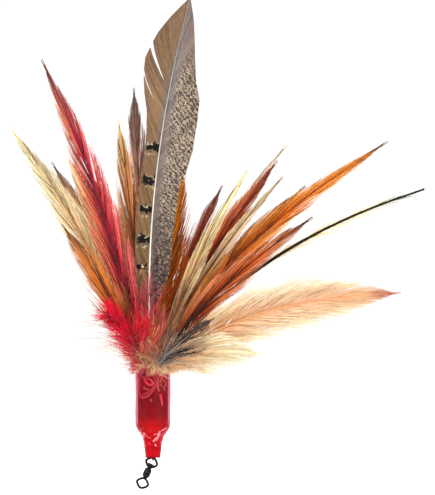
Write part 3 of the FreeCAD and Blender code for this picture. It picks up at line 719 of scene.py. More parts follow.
def pheasantPattern(tree, vaneAxes, painted):
    across, along = vaneAxes.outputs["X"], vaneAxes.outputs["Y"]
    width, length = pheasant["vaneSize"]
    acrossSize = addNode(tree, "Math", {"operation": "MULTIPLY", 1: width}, {0: across})
    alongSize = addNode(tree, "Math", {"operation": "MULTIPLY", 1: length}, {0: along})
    plan = addNode(tree, "CombineXYZ", links={0: acrossSize, 1: alongSize})
    # wavy lines
    wave = addNode(
        tree, "TexWave",
        {"bands_direction": "DIAGONAL", "Scale": 0.314 / pheasant["waveSpacing"], "Distortion": 11.0,
         "Detail": 3.0, "Detail Scale": 2.0, "Detail Roughness": 0.7},
        {"Vector": plan},
    )
    lines = setRamp(
        addNode(tree, "ValToRGB", links={0: wave.outputs["Fac"]}),
        [(0.15, "#40363a"), (0.45, "#7c7069"), (0.8, "#bcae96")],
    )
    inVane = addNode(tree, "MapRange", {1: 0.57, 2: 0.66, 3: 0.0, 4: 0.85}, {0: across})
    belowTip = addNode(tree, "MapRange", {1: 0.8, 2: 0.88, 3: 1.0, 4: 0.0}, {0: along})
    aboveRoot = addNode(tree, "MapRange", {1: 0.26, 2: 0.45, 3: 0.3, 4: 1.0}, {0: along})
    lineArea = addNode(tree, "Math", {"operation": "MULTIPLY"}, {0: inVane, 1: belowTip})
    where = addNode(tree, "Math", {"operation": "MULTIPLY"}, {0: lineArea, 1: aboveRoot})
    lined = addNode(
        tree, "Mix", {"data_type": "RGBA"}, {0: where, 6: painted, 7: lines}
    )
    # the net of dark lines towards the root
    net = addNode(
        tree, "TexVoronoi", {"feature": "DISTANCE_TO_EDGE", "Scale": 0.55}, {"Vector": plan}
    )
    netInk = addNode(tree, "MapRange", {1: 0.02, 2: 0.16, 3: 0.85, 4: 0.0}, {0: net.outputs["Distance"]})
    nearRoot = addNode(tree, "MapRange", {1: 0.3, 2: 0.5, 3: 1.0, 4: 0.0}, {0: along})
    rightOnly = addNode(tree, "MapRange", {1: 0.53, 2: 0.58}, {0: across})
    netHere = addNode(tree, "Math", {"operation": "MULTIPLY"}, {0: netInk, 1: nearRoot})
    netRight = addNode(tree, "Math", {"operation": "MULTIPLY"}, {0: netHere, 1: rightOnly})
    netted = addNode(
        tree, "Mix", {"data_type": "RGBA", 7: colour(pheasant["netInk"])},
        {0: netRight, 6: lined.outputs[2]},
    )
    # bars with ragged edges and pale specks round them
    ragged = addNode(tree, "TexNoise", {"Scale": 0.6, "Detail": 2.0}, {"Vector": plan})
    shift = addNode(tree, "MapRange", {1: 0.25, 2: 0.75, 3: -0.014, 4: 0.014}, {0: ragged.outputs["Fac"]})
    moved = addNode(tree, "Math", {"operation": "ADD"}, {0: along, 1: shift})
    black, white = "#000000", "#ffffff"

    def barStops(grow):
        stops = []
        for bar in pheasant["bars"]:
            half = pheasant["barHalf"] * (pheasant["firstBar"] if bar == pheasant["bars"][0] else 1) + grow
            fall = half + pheasant["barEdge"]
            stops += [(bar - fall, black), (bar - half, white), (bar + half, white), (bar + fall, black)]
        return stops

    bars = setRamp(addNode(tree, "ValToRGB", links={0: moved}), barStops(0))
    rim = setRamp(addNode(tree, "ValToRGB", links={0: moved}), barStops(pheasant["speckReach"]))
    outerEnd = addNode(tree, "MapRange", {1: 0.14, 2: 0.18}, {0: across})
    innerEnd = addNode(tree, "MapRange", {1: 0.485, 2: 0.497, 3: 1.0, 4: 0.0}, {0: across})
    leftOnly = addNode(tree, "Math", {"operation": "MULTIPLY"}, {0: outerEnd, 1: innerEnd})
    speckle = addNode(tree, "MapRange", {1: 0.5, 2: 0.6}, {0: ragged.outputs["Fac"]})
    rimHere = addNode(tree, "Math", {"operation": "MULTIPLY"}, {0: rim, 1: leftOnly})
    speckHere = addNode(tree, "Math", {"operation": "MULTIPLY"}, {0: rimHere, 1: speckle})
    specked = addNode(
        tree, "Mix", {"data_type": "RGBA", 7: colour(pheasant["speck"])},
        {0: speckHere, 6: netted.outputs[2]},
    )
    barHere = addNode(tree, "Math", {"operation": "MULTIPLY"}, {0: bars, 1: leftOnly})
    barred = addNode(
        tree, "Mix", {"data_type": "RGBA", 7: colour(pheasant["barInk"])},
        {0: barHere, 6: specked.outputs[2]},
    )
    return barred.outputs[2]


# soft barbs: colour at their roots and at their ends
downs = {
    "red": ("#b40f22", "#e03a4a"),
    "golden": ("#b47838", "#ecc488"),
    "brown": ("#7a4424", "#bb7f48"),
    "cream": ("#d8a060", "#f8e8c0"),
    "slate": ("#140d0c", "#8e7866"),
    "pink": ("#ff5c74", "#ffa0aa"),
    "salmon": ("#ff9c7c", "#ffd4b8"),
}
downMaterials = {}


def downMaterial(tint):
    # down: loose silky barbs with no hooks, so it scatters light more softly than a vane
    if tint in downMaterials:
        return downMaterials[tint]
    material, tree, shader = newMaterial(tint + " down")
    barb = addNode(tree, "UVMap", {"uv_map": "barb"})
    axes = addNode(tree, "SeparateXYZ", links={0: barb})
    root, end = downs[tint]
    body = setRamp(addNode(tree, "ValToRGB", links={0: axes.outputs["X"]}), [(0.1, root), (0.95, end)])
    value = addNode(tree, "MapRange", {3: 0.6, 4: 1.4}, {0: axes.outputs["Y"]})
    shade = addNode(tree, "HueSaturation", links={"Color": body, "Value": value})
    setNode(
        tree, shader,
        {"Roughness": 0.65, "Specular IOR Level": 0.3, "Sheen Weight": 0.4, "Sheen Roughness": 0.5},
        {"Base Color": shade},
    )
    downMaterials[tint] = material
    return material


def quillMaterial(look):
    # keratin shaft: smooth and horn-like, with faint streaks along it
    material, tree, shader = newMaterial(look["finish"] + " shaft")
    vane = addNode(tree, "UVMap", {"uv_map": "vane"})
    axes = addNode(tree, "SeparateXYZ", links={0: vane})
    low, high = look["shaft"]
    place = addNode(tree, "TexCoord")
    mottle = addNode(
        tree, "TexNoise", {"Scale": 1 / (2 * mm), "Detail": 3.0}, {"Vector": place.outputs["Object"]}
    )
    body = setRamp(addNode(tree, "ValToRGB", links={0: axes.outputs["Y"]}), [(0.1, low), (0.9, high)])
    value = addNode(tree, "MapRange", {3: 0.75, 4: 1.25}, {0: mottle.outputs["Fac"]})
    shade = addNode(tree, "HueSaturation", links={"Color": body, "Value": value})
    setNode(tree, shader, {"Roughness": 0.38, "Specular IOR Level": look["shine"]}, {"Base Color": shade})
    return material


def camelName(node):
    first, *rest = node.split("_")
    return first + "".join(word.title() for word in rest)


growth = {
    "early": 0.35,  # share of a barb's reach by which it starts before the CAD vane
    "least": 2 * mm,  # lowest vane barb above the mouth
    "tip": 1.5 * mm,  # bare shaft above the last barb
    "downUp": 8 * mm,  # how far the down goes on up the vane
    "forwardBy": 8 * mm,  # height at which a feather has come all the way forward
}


def makeFeather(node, look):
    spine = readSpine(node, look["leftShare"])
    spine["centre"][:, 1] -= look["forward"] * np.clip(spine["s"] / growth["forwardBy"], 0, 1)
    foot, shorter = spine["centre"][0], look["shorter"]
    spine["centre"] = foot + (spine["centre"] - foot) * shorter
    spine["s"] = spine["s"] * shorter
    spine["length"] = spine["length"] * shorter
    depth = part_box("sleeve")[1].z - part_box(node)[0].z
    kind = {**plainBarb, **kinds[look["kind"]]}
    length = spine["length"]
    start = max(spine["vane"] - growth["early"] * kind["reach"], growth["least"])
    parts = []
    for side in ("left", "right"):
        wide = "wide" + side.title()

        def vaneSpan(root, reach):
            if "profiles" in look:
                places, widths = zip(*look["profiles"][side])
                return np.interp((root + reach) / length, places, widths) * mm
            return np.maximum(at(spine, wide, root + reach) * look.get(wide, look["wide"]), kind["least"])

        def downSpan(root, reach):
            return down["span"] * np.ones_like(root)

        splits = look["splits"] if side == "left" else ()
        barbs = growBarbs(spine, side, kind, start, length - growth["tip"], vaneSpan, splits)
        parts.append(barbs + (0,))
        if look["kind"] != "quill":
            fluff = growBarbs(spine, side, down, 0, start + growth["downUp"], downSpan)
            parts.append(fluff + (2,))
    parts.append(bendQuill(spine, look, depth) + (1,))
    materials = [barbMaterial(look), quillMaterial(look), downMaterial(look["down"])]
    piece = joinParts(camelName(node), parts, materials)
    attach(piece, "head")
    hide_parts(node)
    return piece


def readProfile(node):
    # height, inner and outer radius of a turned CAD part at each of its rings, upwards
    points = nodePoints(node)
    radius = np.hypot(points[:, 0], points[:, 1])
    levels = np.unique(np.round(points[:, 2], 5))
    rings = [(level, radius[np.abs(points[:, 2] - level) < 2e-5]) for level in levels]
    return [(level, found.min(), found.max()) for level, found in rings]


def spinOutline(name, outline, steps, place=None):
    # a closed outline of (radius, height) spun round the Z axis into a shell
    mesh = bpy.data.meshes.new(name)
    count = len(outline)
    mesh.from_pydata([(r, 0, z) for r, z in outline], [(i, (i + 1) % count) for i in range(count)], [])
    piece = bpy.data.objects.new(name, mesh)
    bpy.context.scene.collection.objects.link(piece)
    bpy.context.view_layer.objects.active = piece
    piece.select_set(True)
    bpy.ops.object.mode_set(mode="EDIT")
    bpy.ops.mesh.select_all(action="SELECT")
    bpy.ops.mesh.spin(steps=steps, angle=2 * math.pi, center=(0, 0, 0), axis=(0, 0, 1))
    bpy.ops.mesh.select_all(action="SELECT")
    bpy.ops.mesh.remove_doubles(threshold=0.002 * mm)
    bpy.ops.mesh.normals_make_consistent(inside=False)
    bpy.ops.object.mode_set(mode="OBJECT")
    if place is not None:
        mesh.transform(place)
    bpy.ops.object.shade_smooth_by_angle(angle=math.radians(40))
    piece.select_set(False)
    return piece


sleeve = {
    "around": 144,
    "rings": 96,
    "ease": 22,  # rounds of smoothing that the shoulder's corner gets
    "thinnest": 0.35 * mm,
    "leastWall": 0.2 * mm,
    "leastStep": 0.3 * mm,  # between the widest radius and the shoulder's
    "crinkle": 0.16 * mm,  # depth of the puckers where the tube shrank at the shoulder
    "sag": 0.07 * mm,  # slow unevenness of the grip
    "neckLumps": 0.06 * mm,
    "rim": 0.12 * mm,  # unevenness of the cut ends
    "rimReach": 1 * mm,
    "puckersBelow": 0.6 * mm,  # from the shoulder's edge to the middle of the puckers
    "puckersSpread": 1.5 * mm,
    "neckBelow": 2 * mm,
    "neckEase": 1 * mm,
    "insideShare": 0.3,  # how much of the unevenness shows inside
    # waves round the tube: how many, where they start, and their turn for each mm of height
    "puckers": ((9, 0.4, 2.1), (14, 2.2, -1.4), (23, 4.1, 0.9)),
    "slowWaves": ((2, 1.0, 0.21), (3, 2.6, -0.35), (5, 0.7, 0.5)),
    "lumps": ((5, 0.2, 1.3), (8, 3.0, -2.2)),
    "clear": "#b4596a",
    "neckClear": "#ea5068",
    "lining": "#a81428",
    "neckRed": "#b80530",
    # painted highlight: the pale pink of the strands laid along the shoulder's folds, and their radius and
    # lift
    "foldHighlight": "#f4707f",
    "foldHighlightRadius": 0.3 * mm,
    "foldHighlightLift": 0.02 * mm,
    # pale strands of painted highlight along the folds round the shoulder: rows of (degrees round from the
    # front, mm below the mouth)
    "folds": (
        ((6, 22.0), (16, 21.6), (28, 21.0), (40, 20.2), (54, 19.6)),
        ((2, 24.4), (10, 23.8), (20, 22.8), (30, 22.2)),
        ((26, 21.6), (30, 22.6), (27, 23.6), (20, 24.2)),
        ((-44, 21.4), (-34, 22.2), (-24, 22.9), (-10, 23.1)),
        ((-66, 20.6), (-56, 21.6), (-50, 22.8)),
        ((14, 25.2), (22, 25.9), (34, 26.0)),
        ((-30, 24.6), (-20, 25.4), (-8, 25.6)),
    ),
}


def ripple(waves, angle, z):
    return sum(np.sin(k * angle + start + turn * z / mm) for k, start, turn in waves) / len(waves)


def makeSleeve():
    bottom, top = (corner.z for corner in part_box("sleeve"))
    rings = readProfile("sleeve")
    outer = sorted((z, big) for z, small, big in rings)
    inner = sorted((z, small) for z, small, big in rings if small < big - sleeve["leastWall"])
    widest = max(radius for z, radius in outer)
    shoulder = max(z for z, radius in outer if radius < widest - sleeve["leastStep"])
    heights = np.linspace(bottom, top, sleeve["rings"])
    bore = np.interp(heights, *zip(*inner))
    wall = np.maximum(smooth(bore, sleeve["ease"]), bore)
    outside = np.maximum(smooth(np.interp(heights, *zip(*outer)), sleeve["ease"]), wall + sleeve["thinnest"])
    outline = list(zip(outside, heights)) + list(zip(wall[::-1], heights[::-1]))
    piece = spinOutline("shrinkSleeve", outline, sleeve["around"])
    mesh = piece.data
    points = np.array([vertex.co for vertex in mesh.vertices])
    angle = np.arctan2(points[:, 1], points[:, 0])
    radius = np.hypot(points[:, 0], points[:, 1])
    z = points[:, 2]
    middle = (np.interp(z, heights, outside) + np.interp(z, heights, wall)) / 2
    onOutside = radius > middle
    atShoulder = np.exp(-((z - shoulder + sleeve["puckersBelow"]) / sleeve["puckersSpread"]) ** 2)
    inNeck = np.clip((shoulder - sleeve["neckBelow"] - z) / sleeve["neckEase"], 0, 1)
    push = sleeve["crinkle"] * ripple(sleeve["puckers"], angle, z) * atShoulder
    push = push + sleeve["sag"] * ripple(sleeve["slowWaves"], angle, z)
    push = push + sleeve["neckLumps"] * ripple(sleeve["lumps"], angle, z) * inNeck
    grow = 1 + push / radius * np.where(onOutside, 1, sleeve["insideShare"])
    edge = sleeve["rimReach"]
    ends = np.clip((z - top + edge) / edge, 0, 1) - np.clip((bottom + edge - z) / edge, 0, 1)
    z = z + sleeve["rim"] * ends * (np.sin(3 * angle + 1) - 1) * 0.5
    points = np.stack([points[:, 0] * grow, points[:, 1] * grow, z], axis=1)
    mesh.vertices.foreach_set("co", points.ravel())
    mesh.materials.append(clearMaterial(shoulder))
    mesh.materials.append(liningMaterial(shoulder))
    for face in mesh.polygons:
        face.material_index = 0 if any(onOutside[corner] for corner in face.vertices) else 1
    mesh.update()
    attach(piece, "head")
    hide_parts("sleeve")
    print("sleeve made")


def clearMaterial(shoulder):
    # polyolefin heat-shrink: clear, faintly pink, glossy and slightly wavy
    material, tree, shader = newMaterial("clear pink shrink tube")
    place = addNode(tree, "TexCoord")
    axes = addNode(tree, "SeparateXYZ", links={0: place.outputs["Object"]})
    # the brighter neck tint reaches 2.6 mm up past the shoulder: painted light that cancels the shade on the
    # shoulder's slope
    neckward = addNode(
        tree, "MapRange", {1: shoulder - 1 * mm, 2: shoulder + 2.6 * mm}, {0: axes.outputs["Z"]}
    )
    body = addNode(
        tree, "Mix", {"data_type": "RGBA", 6: colour(sleeve["neckClear"]), 7: colour(sleeve["clear"])},
        {0: neckward},
    )
    # slow waves in the wall, about 1 mm apart
    marks = addNode(
        tree, "TexNoise", {"Scale": 1 / (1.2 * mm), "Detail": 3.0}, {"Vector": place.outputs["Object"]}
    )
    bump = addNode(tree, "Bump", {"Strength": 0.35, "Distance": 0.12 * mm}, {"Height": marks.outputs["Fac"]})
    setNode(
        tree, shader,
        {
            "Roughness": 0.06, "IOR": 1.1, "Transmission Weight": 1.0, "Coat Weight": 0.12,
            "Coat Roughness": 0.08,
        },
        {"Base Color": body.outputs[2], "Normal": bump},
    )
    return material


def liningMaterial(shoulder):
    # dyed hot-melt lining: deep red over the quills, lighter at the mouth, bright where the neck is thin,
    # painted lighter on the shoulder's downward-facing slope to cancel its shade, and mottled where it
    # flowed
    material, tree, shader = newMaterial("red adhesive lining")
    place = addNode(tree, "TexCoord")
    axes = addNode(tree, "SeparateXYZ", links={0: place.outputs["Object"]})
    flow = addNode(
        tree, "TexNoise", {"Scale": 1 / (2.2 * mm), "Detail": 4.0, "Distortion": 0.6},
        {"Vector": place.outputs["Object"]},
    )
    wander = addNode(tree, "MapRange", {3: -1.2 * mm, 4: 1.2 * mm}, {0: flow.outputs["Fac"]})
    height = addNode(tree, "Math", {"operation": "ADD"}, {0: axes.outputs["Z"], 1: wander})
    low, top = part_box("sleeve")[0].z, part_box("sleeve")[1].z
    share = addNode(tree, "MapRange", {1: low, 2: top}, {0: height})
    step = (shoulder - low) / (top - low)
    # from step - 0.04 to step + 0.09 the lining is painted lighter: painted light that cancels the shade on
    # the shoulder's downward-facing slope
    body = setRamp(
        addNode(tree, "ValToRGB", links={0: share}),
        [(0.0, "#8c0c1c"), (0.04, sleeve["neckRed"]), (step - 0.04, "#cc0a2c"), (step + 0.09, "#d01024"),
         (step + 0.17, sleeve["lining"]), (0.72, "#9c1428"), (0.86, "#c4283e"), (1.0, "#d83a50")],
    )
    value = addNode(tree, "MapRange", {1: 0.3, 2: 0.7, 3: 0.78, 4: 1.25}, {0: flow.outputs["Fac"]})
    shade = addNode(tree, "HueSaturation", links={"Color": body, "Value": value})
    bump = addNode(tree, "Bump", {"Strength": 0.4, "Distance": 0.2 * mm}, {"Height": flow.outputs["Fac"]})
    setNode(
        tree, shader, {"Roughness": 0.6, "Specular IOR Level": 0.05},
        {"Base Color": shade, "Normal": bump},
    )
    return material


swivel = {
    "around": 64,
    "round": 0.12 * mm,  # rounding of the barrel's edges
    "groove": 0.07 * mm,
    "wireRadius": 0.41 * mm,
    "eyeLength": 4.4 * mm,
    "squareness": 1.35,  # 1 is round, 2 a sharp diamond
    # wire ends wrapped round each eye's foot: lift, ring radius and wire radius
    "wraps": {
        "upperEye": ((0.15, 0.55, 0.2), (0.5, 0.7, 0.25), (0.95, 0.95, 0.27), (1.4, 1.15, 0.27)),
        "lowerEye": ((0.13, 0.5, 0.17), (0.42, 0.55, 0.18)),
    },
    "wrapTilt": 6,  # degrees
    "wrapSides": (32, 12),
    "loopPoints": 72,
    "shankSides": 24,
    "shankShare": 0.98,  # of the wire's radius
    "taper": 0.7 * mm,
}


def metalMaterial(name, shade, rough):
    # black nickel plate: dark, warm grey, glossy, with lighter spots at random
    material, tree, shader = newMaterial(name)
    place = addNode(tree, "TexCoord")
    spotNoise = addNode(
        tree, "TexNoise", {"Scale": 1 / (0.5 * mm), "Detail": 3.0}, {"Vector": place.outputs["Object"]}
    )
    light = [(0.45, shade), (0.8, "#47433f")]
    body = setRamp(addNode(tree, "ValToRGB", links={0: spotNoise.outputs["Fac"]}), light)
    roughness = addNode(tree, "MapRange", {3: rough - 0.08, 4: rough + 0.12}, {0: spotNoise.outputs["Fac"]})
    # drawing and tumbling marks, 0.05 mm on the real wire, drawn four times as coarse
    marks = addNode(
        tree, "TexNoise", {"Scale": 1 / (0.2 * mm), "Detail": 2.0}, {"Vector": place.outputs["Object"]}
    )
    bump = addNode(tree, "Bump", {"Strength": 0.3, "Distance": 0.03 * mm}, {"Height": marks.outputs["Fac"]})
    setNode(tree, shader, {"Metallic": 1.0}, {"Base Color": body, "Roughness": roughness, "Normal": bump})
    return material


def fromAxis(points, place, along):
    # height along an axis, and distance from it
    offset = points - place
    height = offset @ along
    return height, np.linalg.norm(offset - height[:, None] * along, axis=1)


def axisPlace(place, along, flipped=False):
    # from a piece modelled up the Z axis, to the swivel's own axis
    up = Vector(along) * (-1 if flipped else 1)
    side = Vector((0, 1, 0)).cross(up)
    turn = Matrix((side, (0, 1, 0), up)).transposed().to_4x4()
    return Matrix.Translation(Vector(place)) @ turn


def makeEye(name, node, body, place, along, flipped):
    # a bent wire eye with its end wrapped round the shank
    points = nodePoints(node)
    reach = fromAxis(points, place, -along if flipped else along)[0]
    side = np.cross((0, 1.0, 0), along)
    wire = swivel["wireRadius"]
    top, low = reach.max() - wire, reach.min()
    wide = np.abs(points @ side - place @ side).max() - wire
    foot = top - swivel["eyeLength"] + 2 * wire
    middle = (top + foot) / 2
    bpy.ops.curve.primitive_bezier_circle_add(radius=1)
    loop = bpy.context.active_object
    loop.data.splines.clear()
    spline = loop.data.splines.new("POLY")
    count = swivel["loopPoints"]
    spline.points.add(count - 1)
    for i, point in enumerate(spline.points):
        turn = 2 * math.pi * i / count
        x, z = math.sin(turn), math.cos(turn)
        x, z = (math.copysign(abs(value) ** swivel["squareness"], value) for value in (x, z))
        point.co = (x * wide, 0, middle + z * (top - middle), 1)
    spline.use_cyclic_u = True
    loop.data.bevel_depth = wire
    loop.data.bevel_resolution = 5
    loop.data.fill_mode = "FULL"
    bpy.ops.object.convert(target="MESH")
    neck = foot - wire  # where the barrel's end face is
    bpy.ops.mesh.primitive_cylinder_add(
        vertices=swivel["shankSides"], radius=wire * swivel["shankShare"], depth=foot - low,
        location=(0, 0, (foot + low) / 2),
    )
    parts = [loop, bpy.context.active_object]
    around, across = swivel["wrapSides"]
    for lift, major, minor in np.array(swivel["wraps"][name]) * mm:
        bpy.ops.mesh.primitive_torus_add(
            major_radius=major, minor_radius=minor, major_segments=around, minor_segments=across,
            location=(0, 0, neck + lift),
        )
        wrap = bpy.context.active_object
        wrap.rotation_euler = (math.radians(swivel["wrapTilt"]), 0, 0)
        parts.append(wrap)
    for part in parts:
        part.select_set(True)
    bpy.context.view_layer.objects.active = loop
    bpy.ops.object.join()
    bpy.ops.object.transform_apply(location=True, rotation=True, scale=True)
    loop.name = name
    loop.data.transform(axisPlace(place, along, flipped))
    bpy.ops.object.shade_smooth()
    loop.select_set(False)
    loop.data.materials.clear()
    loop.data.materials.append(swivel["plate"])
    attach(loop, body)
    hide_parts(node)


def makeBarrel(place, along):
    height, radius = fromAxis(nodePoints("swivel_barrel"), place, along)
    top, low = height.max(), height.min()
    belly, hole = radius.max(), radius.min()
    end = radius[height > top - 0.02 * mm].max()
    edge, groove, taper = swivel["round"], swivel["groove"], swivel["taper"]
    half = [
        (hole, 0), (end - edge, 0), (end - 0.3 * edge, 0.3 * edge), (end, edge),
        (belly - 0.6 * edge, taper - edge), (belly - 0.1 * edge, taper), (belly, taper + 0.6 * edge),
        (belly, taper + 1.6 * edge), (belly - groove, taper + 2.3 * edge),
        (belly - groove, taper + 3.1 * edge), (belly, taper + 3.8 * edge),
    ]
    outline = [(r, top - z) for r, z in half] + [(r, low + z) for r, z in half[::-1]]
    piece = spinOutline("swivelBarrel", outline, swivel["around"], axisPlace(place, along))
    piece.data.materials.append(swivel["barrelPlate"])
    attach(piece, "barrel")
    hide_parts("swivel_barrel")


def makeSwivel():
    joints = {joint["name"]: joint for joint in frame["joints"]}
    pivot = np.array(joints["swivel_swing"]["pos_m"])
    along = unit(np.array(joints["barrel_spin"]["axis"]))
    swivel["plate"] = metalMaterial("black nickel wire", "#060505", 0.32)
    swivel["barrelPlate"] = metalMaterial("black nickel barrel", "#151413", 0.26)
    upperTop = fromAxis(nodePoints("swivel_upper_eye"), pivot, along)[0].max()
    lowerEnd = fromAxis(nodePoints("swivel_lower_eye"), pivot, along)[0].min()
    makeEye("upperEye", "swivel_upper_eye", "upper_eye", pivot, along, False)
    makeEye("lowerEye", "swivel_lower_eye", "lower_eye", pivot + along * (lowerEnd + upperTop), along, True)
    makeBarrel(pivot, along)
    print("swivel made")


def glueMaterial():
    # EVA hot-melt dyed red: waxy, cloudy and slightly see-through
    material, tree, shader = newMaterial("red hot-melt glue")
    place = addNode(tree, "TexCoord")
    cloud = addNode(
        tree, "TexNoise", {"Scale": 1 / (3 * mm), "Detail": 3.0}, {"Vector": place.outputs["Object"]}
    )
    body = setRamp(
        addNode(tree, "ValToRGB", links={0: cloud.outputs["Fac"]}), [(0.3, "#8c1420"), (0.7, "#b42c34")]
    )
    bump = addNode(tree, "Bump", {"Strength": 0.3, "Distance": 0.1 * mm}, {"Height": cloud.outputs["Fac"]})
    setNode(
        tree, shader, {"Roughness": 0.35, "Transmission Weight": 0.25, "IOR": 1.48},
        {"Base Color": body, "Normal": bump},
    )
    return material


def threadMaterial():
    # waxed polyester thread: two twisted plies, 0.6 mm a turn, with a dull wax shine
    material, tree, shader = newMaterial("waxed binding thread")
    place = addNode(tree, "TexCoord")
    twist = addNode(
        tree, "TexWave",
        {"bands_direction": "DIAGONAL", "Scale": 0.314 / (0.3 * mm), "Distortion": 0.6},
        {"Vector": place.outputs["Object"]},
    )
    # the dark bands between the plies are painted shade in their grooves
    body = setRamp(
        addNode(tree, "ValToRGB", links={0: twist.outputs["Fac"]}), [(0.2, "#4c0a14"), (0.7, "#a8202e")]
    )
    bump = addNode(tree, "Bump", {"Strength": 0.6, "Distance": 0.06 * mm}, {"Height": twist.outputs["Fac"]})
    setNode(tree, shader, {"Roughness": 0.48}, {"Base Color": body, "Normal": bump})
    return material


def finishInside():
    finishes = {
        "glue_plug": glueMaterial(),
        "thread_binding": threadMaterial(),
        "anchor_staple": metalMaterial("blackened staple wire", "#232120", 0.34),
    }
    for node, material in finishes.items():
        nodes[node].data.materials.clear()
        nodes[node].data.materials.append(material)


# strands of fluff caught under the clear wall of the sleeve, each a row of
# (degrees round from the front, mm below the mouth)
wisps = {
    "radius": 0.53 * mm,
    "flat": 0.3,
    "fine": 0.4,
    "depth": 0.3 * mm,  # below the sleeve's outer face
    "slots": {"pink": "red_marabou_barbs", "salmon": "gold_fluff_barbs"},
    "strands": {
        "pink": (
            (
                (-46, 0.8), (-50, 3.3), (-57, 7.5), (-43, 9.5), (-22, 8.9), (-4, 7.3), (9, 5.3),
                (17, 4.2), (7, 2.2), (-4, 0.3),
            ),
            ((-30, 2.0), (-22, 3.9), (-9, 4.7), (2, 4.2), (-4, 2.8), (-19, 2.2)),
            ((-40, 8.4), (-16, 7.0), (2, 5.6), (7, 3.3)),
            ((-62, 0.8), (-57, 3.3), (-62, 6.4)),
            ((-12, 0.4), (-20, 1.6), (-36, 1.9), (-44, 0.6)),
            ((27, 7.8), (31, 9.8), (35, 11.7)),
            ((-34, 5.2), (-26, 6.0), (-14, 6.0)),
            ((-8, 9.4), (-5, 9.9), (-6, 10.5)),
        ),
        "salmon": (
            ((14, 0.8), (20, 3.3), (17, 5.6), (23, 6.7)),
            ((23, 1.7), (40, 2.8), (51, 4.2), (40, 5.9), (46, 6.4)),
            ((34, 3.0), (28, 4.5), (37, 5.3)),
            ((48, 0.6), (36, 1.6), (26, 3.4)),
            ((8, 0.3), (24, 1.4), (44, 1.2), (58, 2.2)),
        ),
    },
}


def makeStrand(path, stick, radius, flat, fine):
    # one bent copy of the stick along a path
    corners, faces = stick
    t = corners[:, 2]
    ticks = np.linspace(0, 1, len(path))
    ahead = unit(np.gradient(path, axis=0))
    centre = np.stack([np.interp(t, ticks, path[:, i]) for i in range(3)], axis=1)
    along = unit(np.stack([np.interp(t, ticks, ahead[:, i]) for i in range(3)], axis=1))
    outward = unit(centre * (1, 1, 0) + (0, 1e-6, 0))
    side = unit(np.cross(along, outward))
    size = radius * (1 - fine * t)[:, None]
    place = centre + (side * corners[:, :1] + np.cross(side, along) * corners[:, 1:2] * flat) * size
    mapped = np.stack([t, np.full_like(t, draw.uniform(0.15, 0.95))], axis=1)
    return place, faces, mapped, mapped, 0


def fillPath(points, rounds):
    # a smooth path of sixty points through a few
    points = np.array(points, float)
    ticks = np.linspace(0, 1, 60)
    own = np.linspace(0, 1, len(points))
    return smooth(np.stack([np.interp(ticks, own, points[:, i]) for i in range(3)], axis=1), rounds)


def roundAxis(radius, angle, height):
    # a place beside the sleeve's axis, at an angle from the front
    return radius * math.sin(angle), -radius * math.cos(angle), height


def addStrands(name, parts, material):
    piece = joinParts(name, parts, [material])
    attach(piece, "head")


def makeWisps():
    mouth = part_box("sleeve")[1]
    stick = modelStick(sides=6, cuts=24)
    radius = mouth.x - wisps["depth"]
    for tint, strands in wisps["strands"].items():
        parts = []
        for strand in strands:
            rows = [roundAxis(radius, math.radians(turn), mouth.z - drop * mm) for turn, drop in strand]
            path = fillPath(rows, rounds=24)
            parts.append(makeStrand(path, stick, wisps["radius"], wisps["flat"], wisps["fine"]))
        addStrands(tint + "Wisps", parts, downMaterial(tint))
    print("wisps made")


def makeFoldHighlights():
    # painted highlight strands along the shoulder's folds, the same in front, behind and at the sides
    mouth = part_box("sleeve")[1].z
    levels = sorted((z, big) for z, small, big in readProfile("sleeve"))
    heights = np.linspace(levels[0][0], mouth, sleeve["rings"])
    outside = smooth(np.interp(heights, *zip(*levels)), sleeve["ease"])
    stick = modelStick(sides=6, cuts=16)
    parts = []
    for quarter in range(4):
        for fold in sleeve["folds"]:
            rows = []
            for turn, drop in fold:
                height = mouth - drop * mm
                radius = np.interp(height, heights, outside) + sleeve["foldHighlightLift"]
                rows.append(roundAxis(radius, math.radians(turn + 90 * quarter), height))
            path = fillPath(rows, rounds=10)
            parts.append(makeStrand(path, stick, sleeve["foldHighlightRadius"], flat=0.35, fine=0.55))
    addStrands("sleeveFoldHighlights", parts, foldHighlightMaterial())


def foldHighlightMaterial():
    # painted highlight along the tube's folds: pale pink strands where light catches them, and shinier than
    # the rest
    material, tree, shader = newMaterial("painted fold highlights")
    place = addNode(tree, "TexCoord")
    highlightNoise = addNode(
        tree, "TexNoise", {"Scale": 1 / (1.1 * mm), "Detail": 2.0}, {"Vector": place.outputs["Object"]}
    )
    body = setRamp(
        addNode(tree, "ValToRGB", links={0: highlightNoise.outputs["Fac"]}),
        [(0.36, "#c81834"), (0.52, sleeve["foldHighlight"]), (0.66, "#ffb8c2")],
    )
    setNode(
        tree, shader, {"Roughness": 0.24, "Coat Weight": 0.2, "Coat Roughness": 0.08},
        {"Base Color": body},
    )
    return material


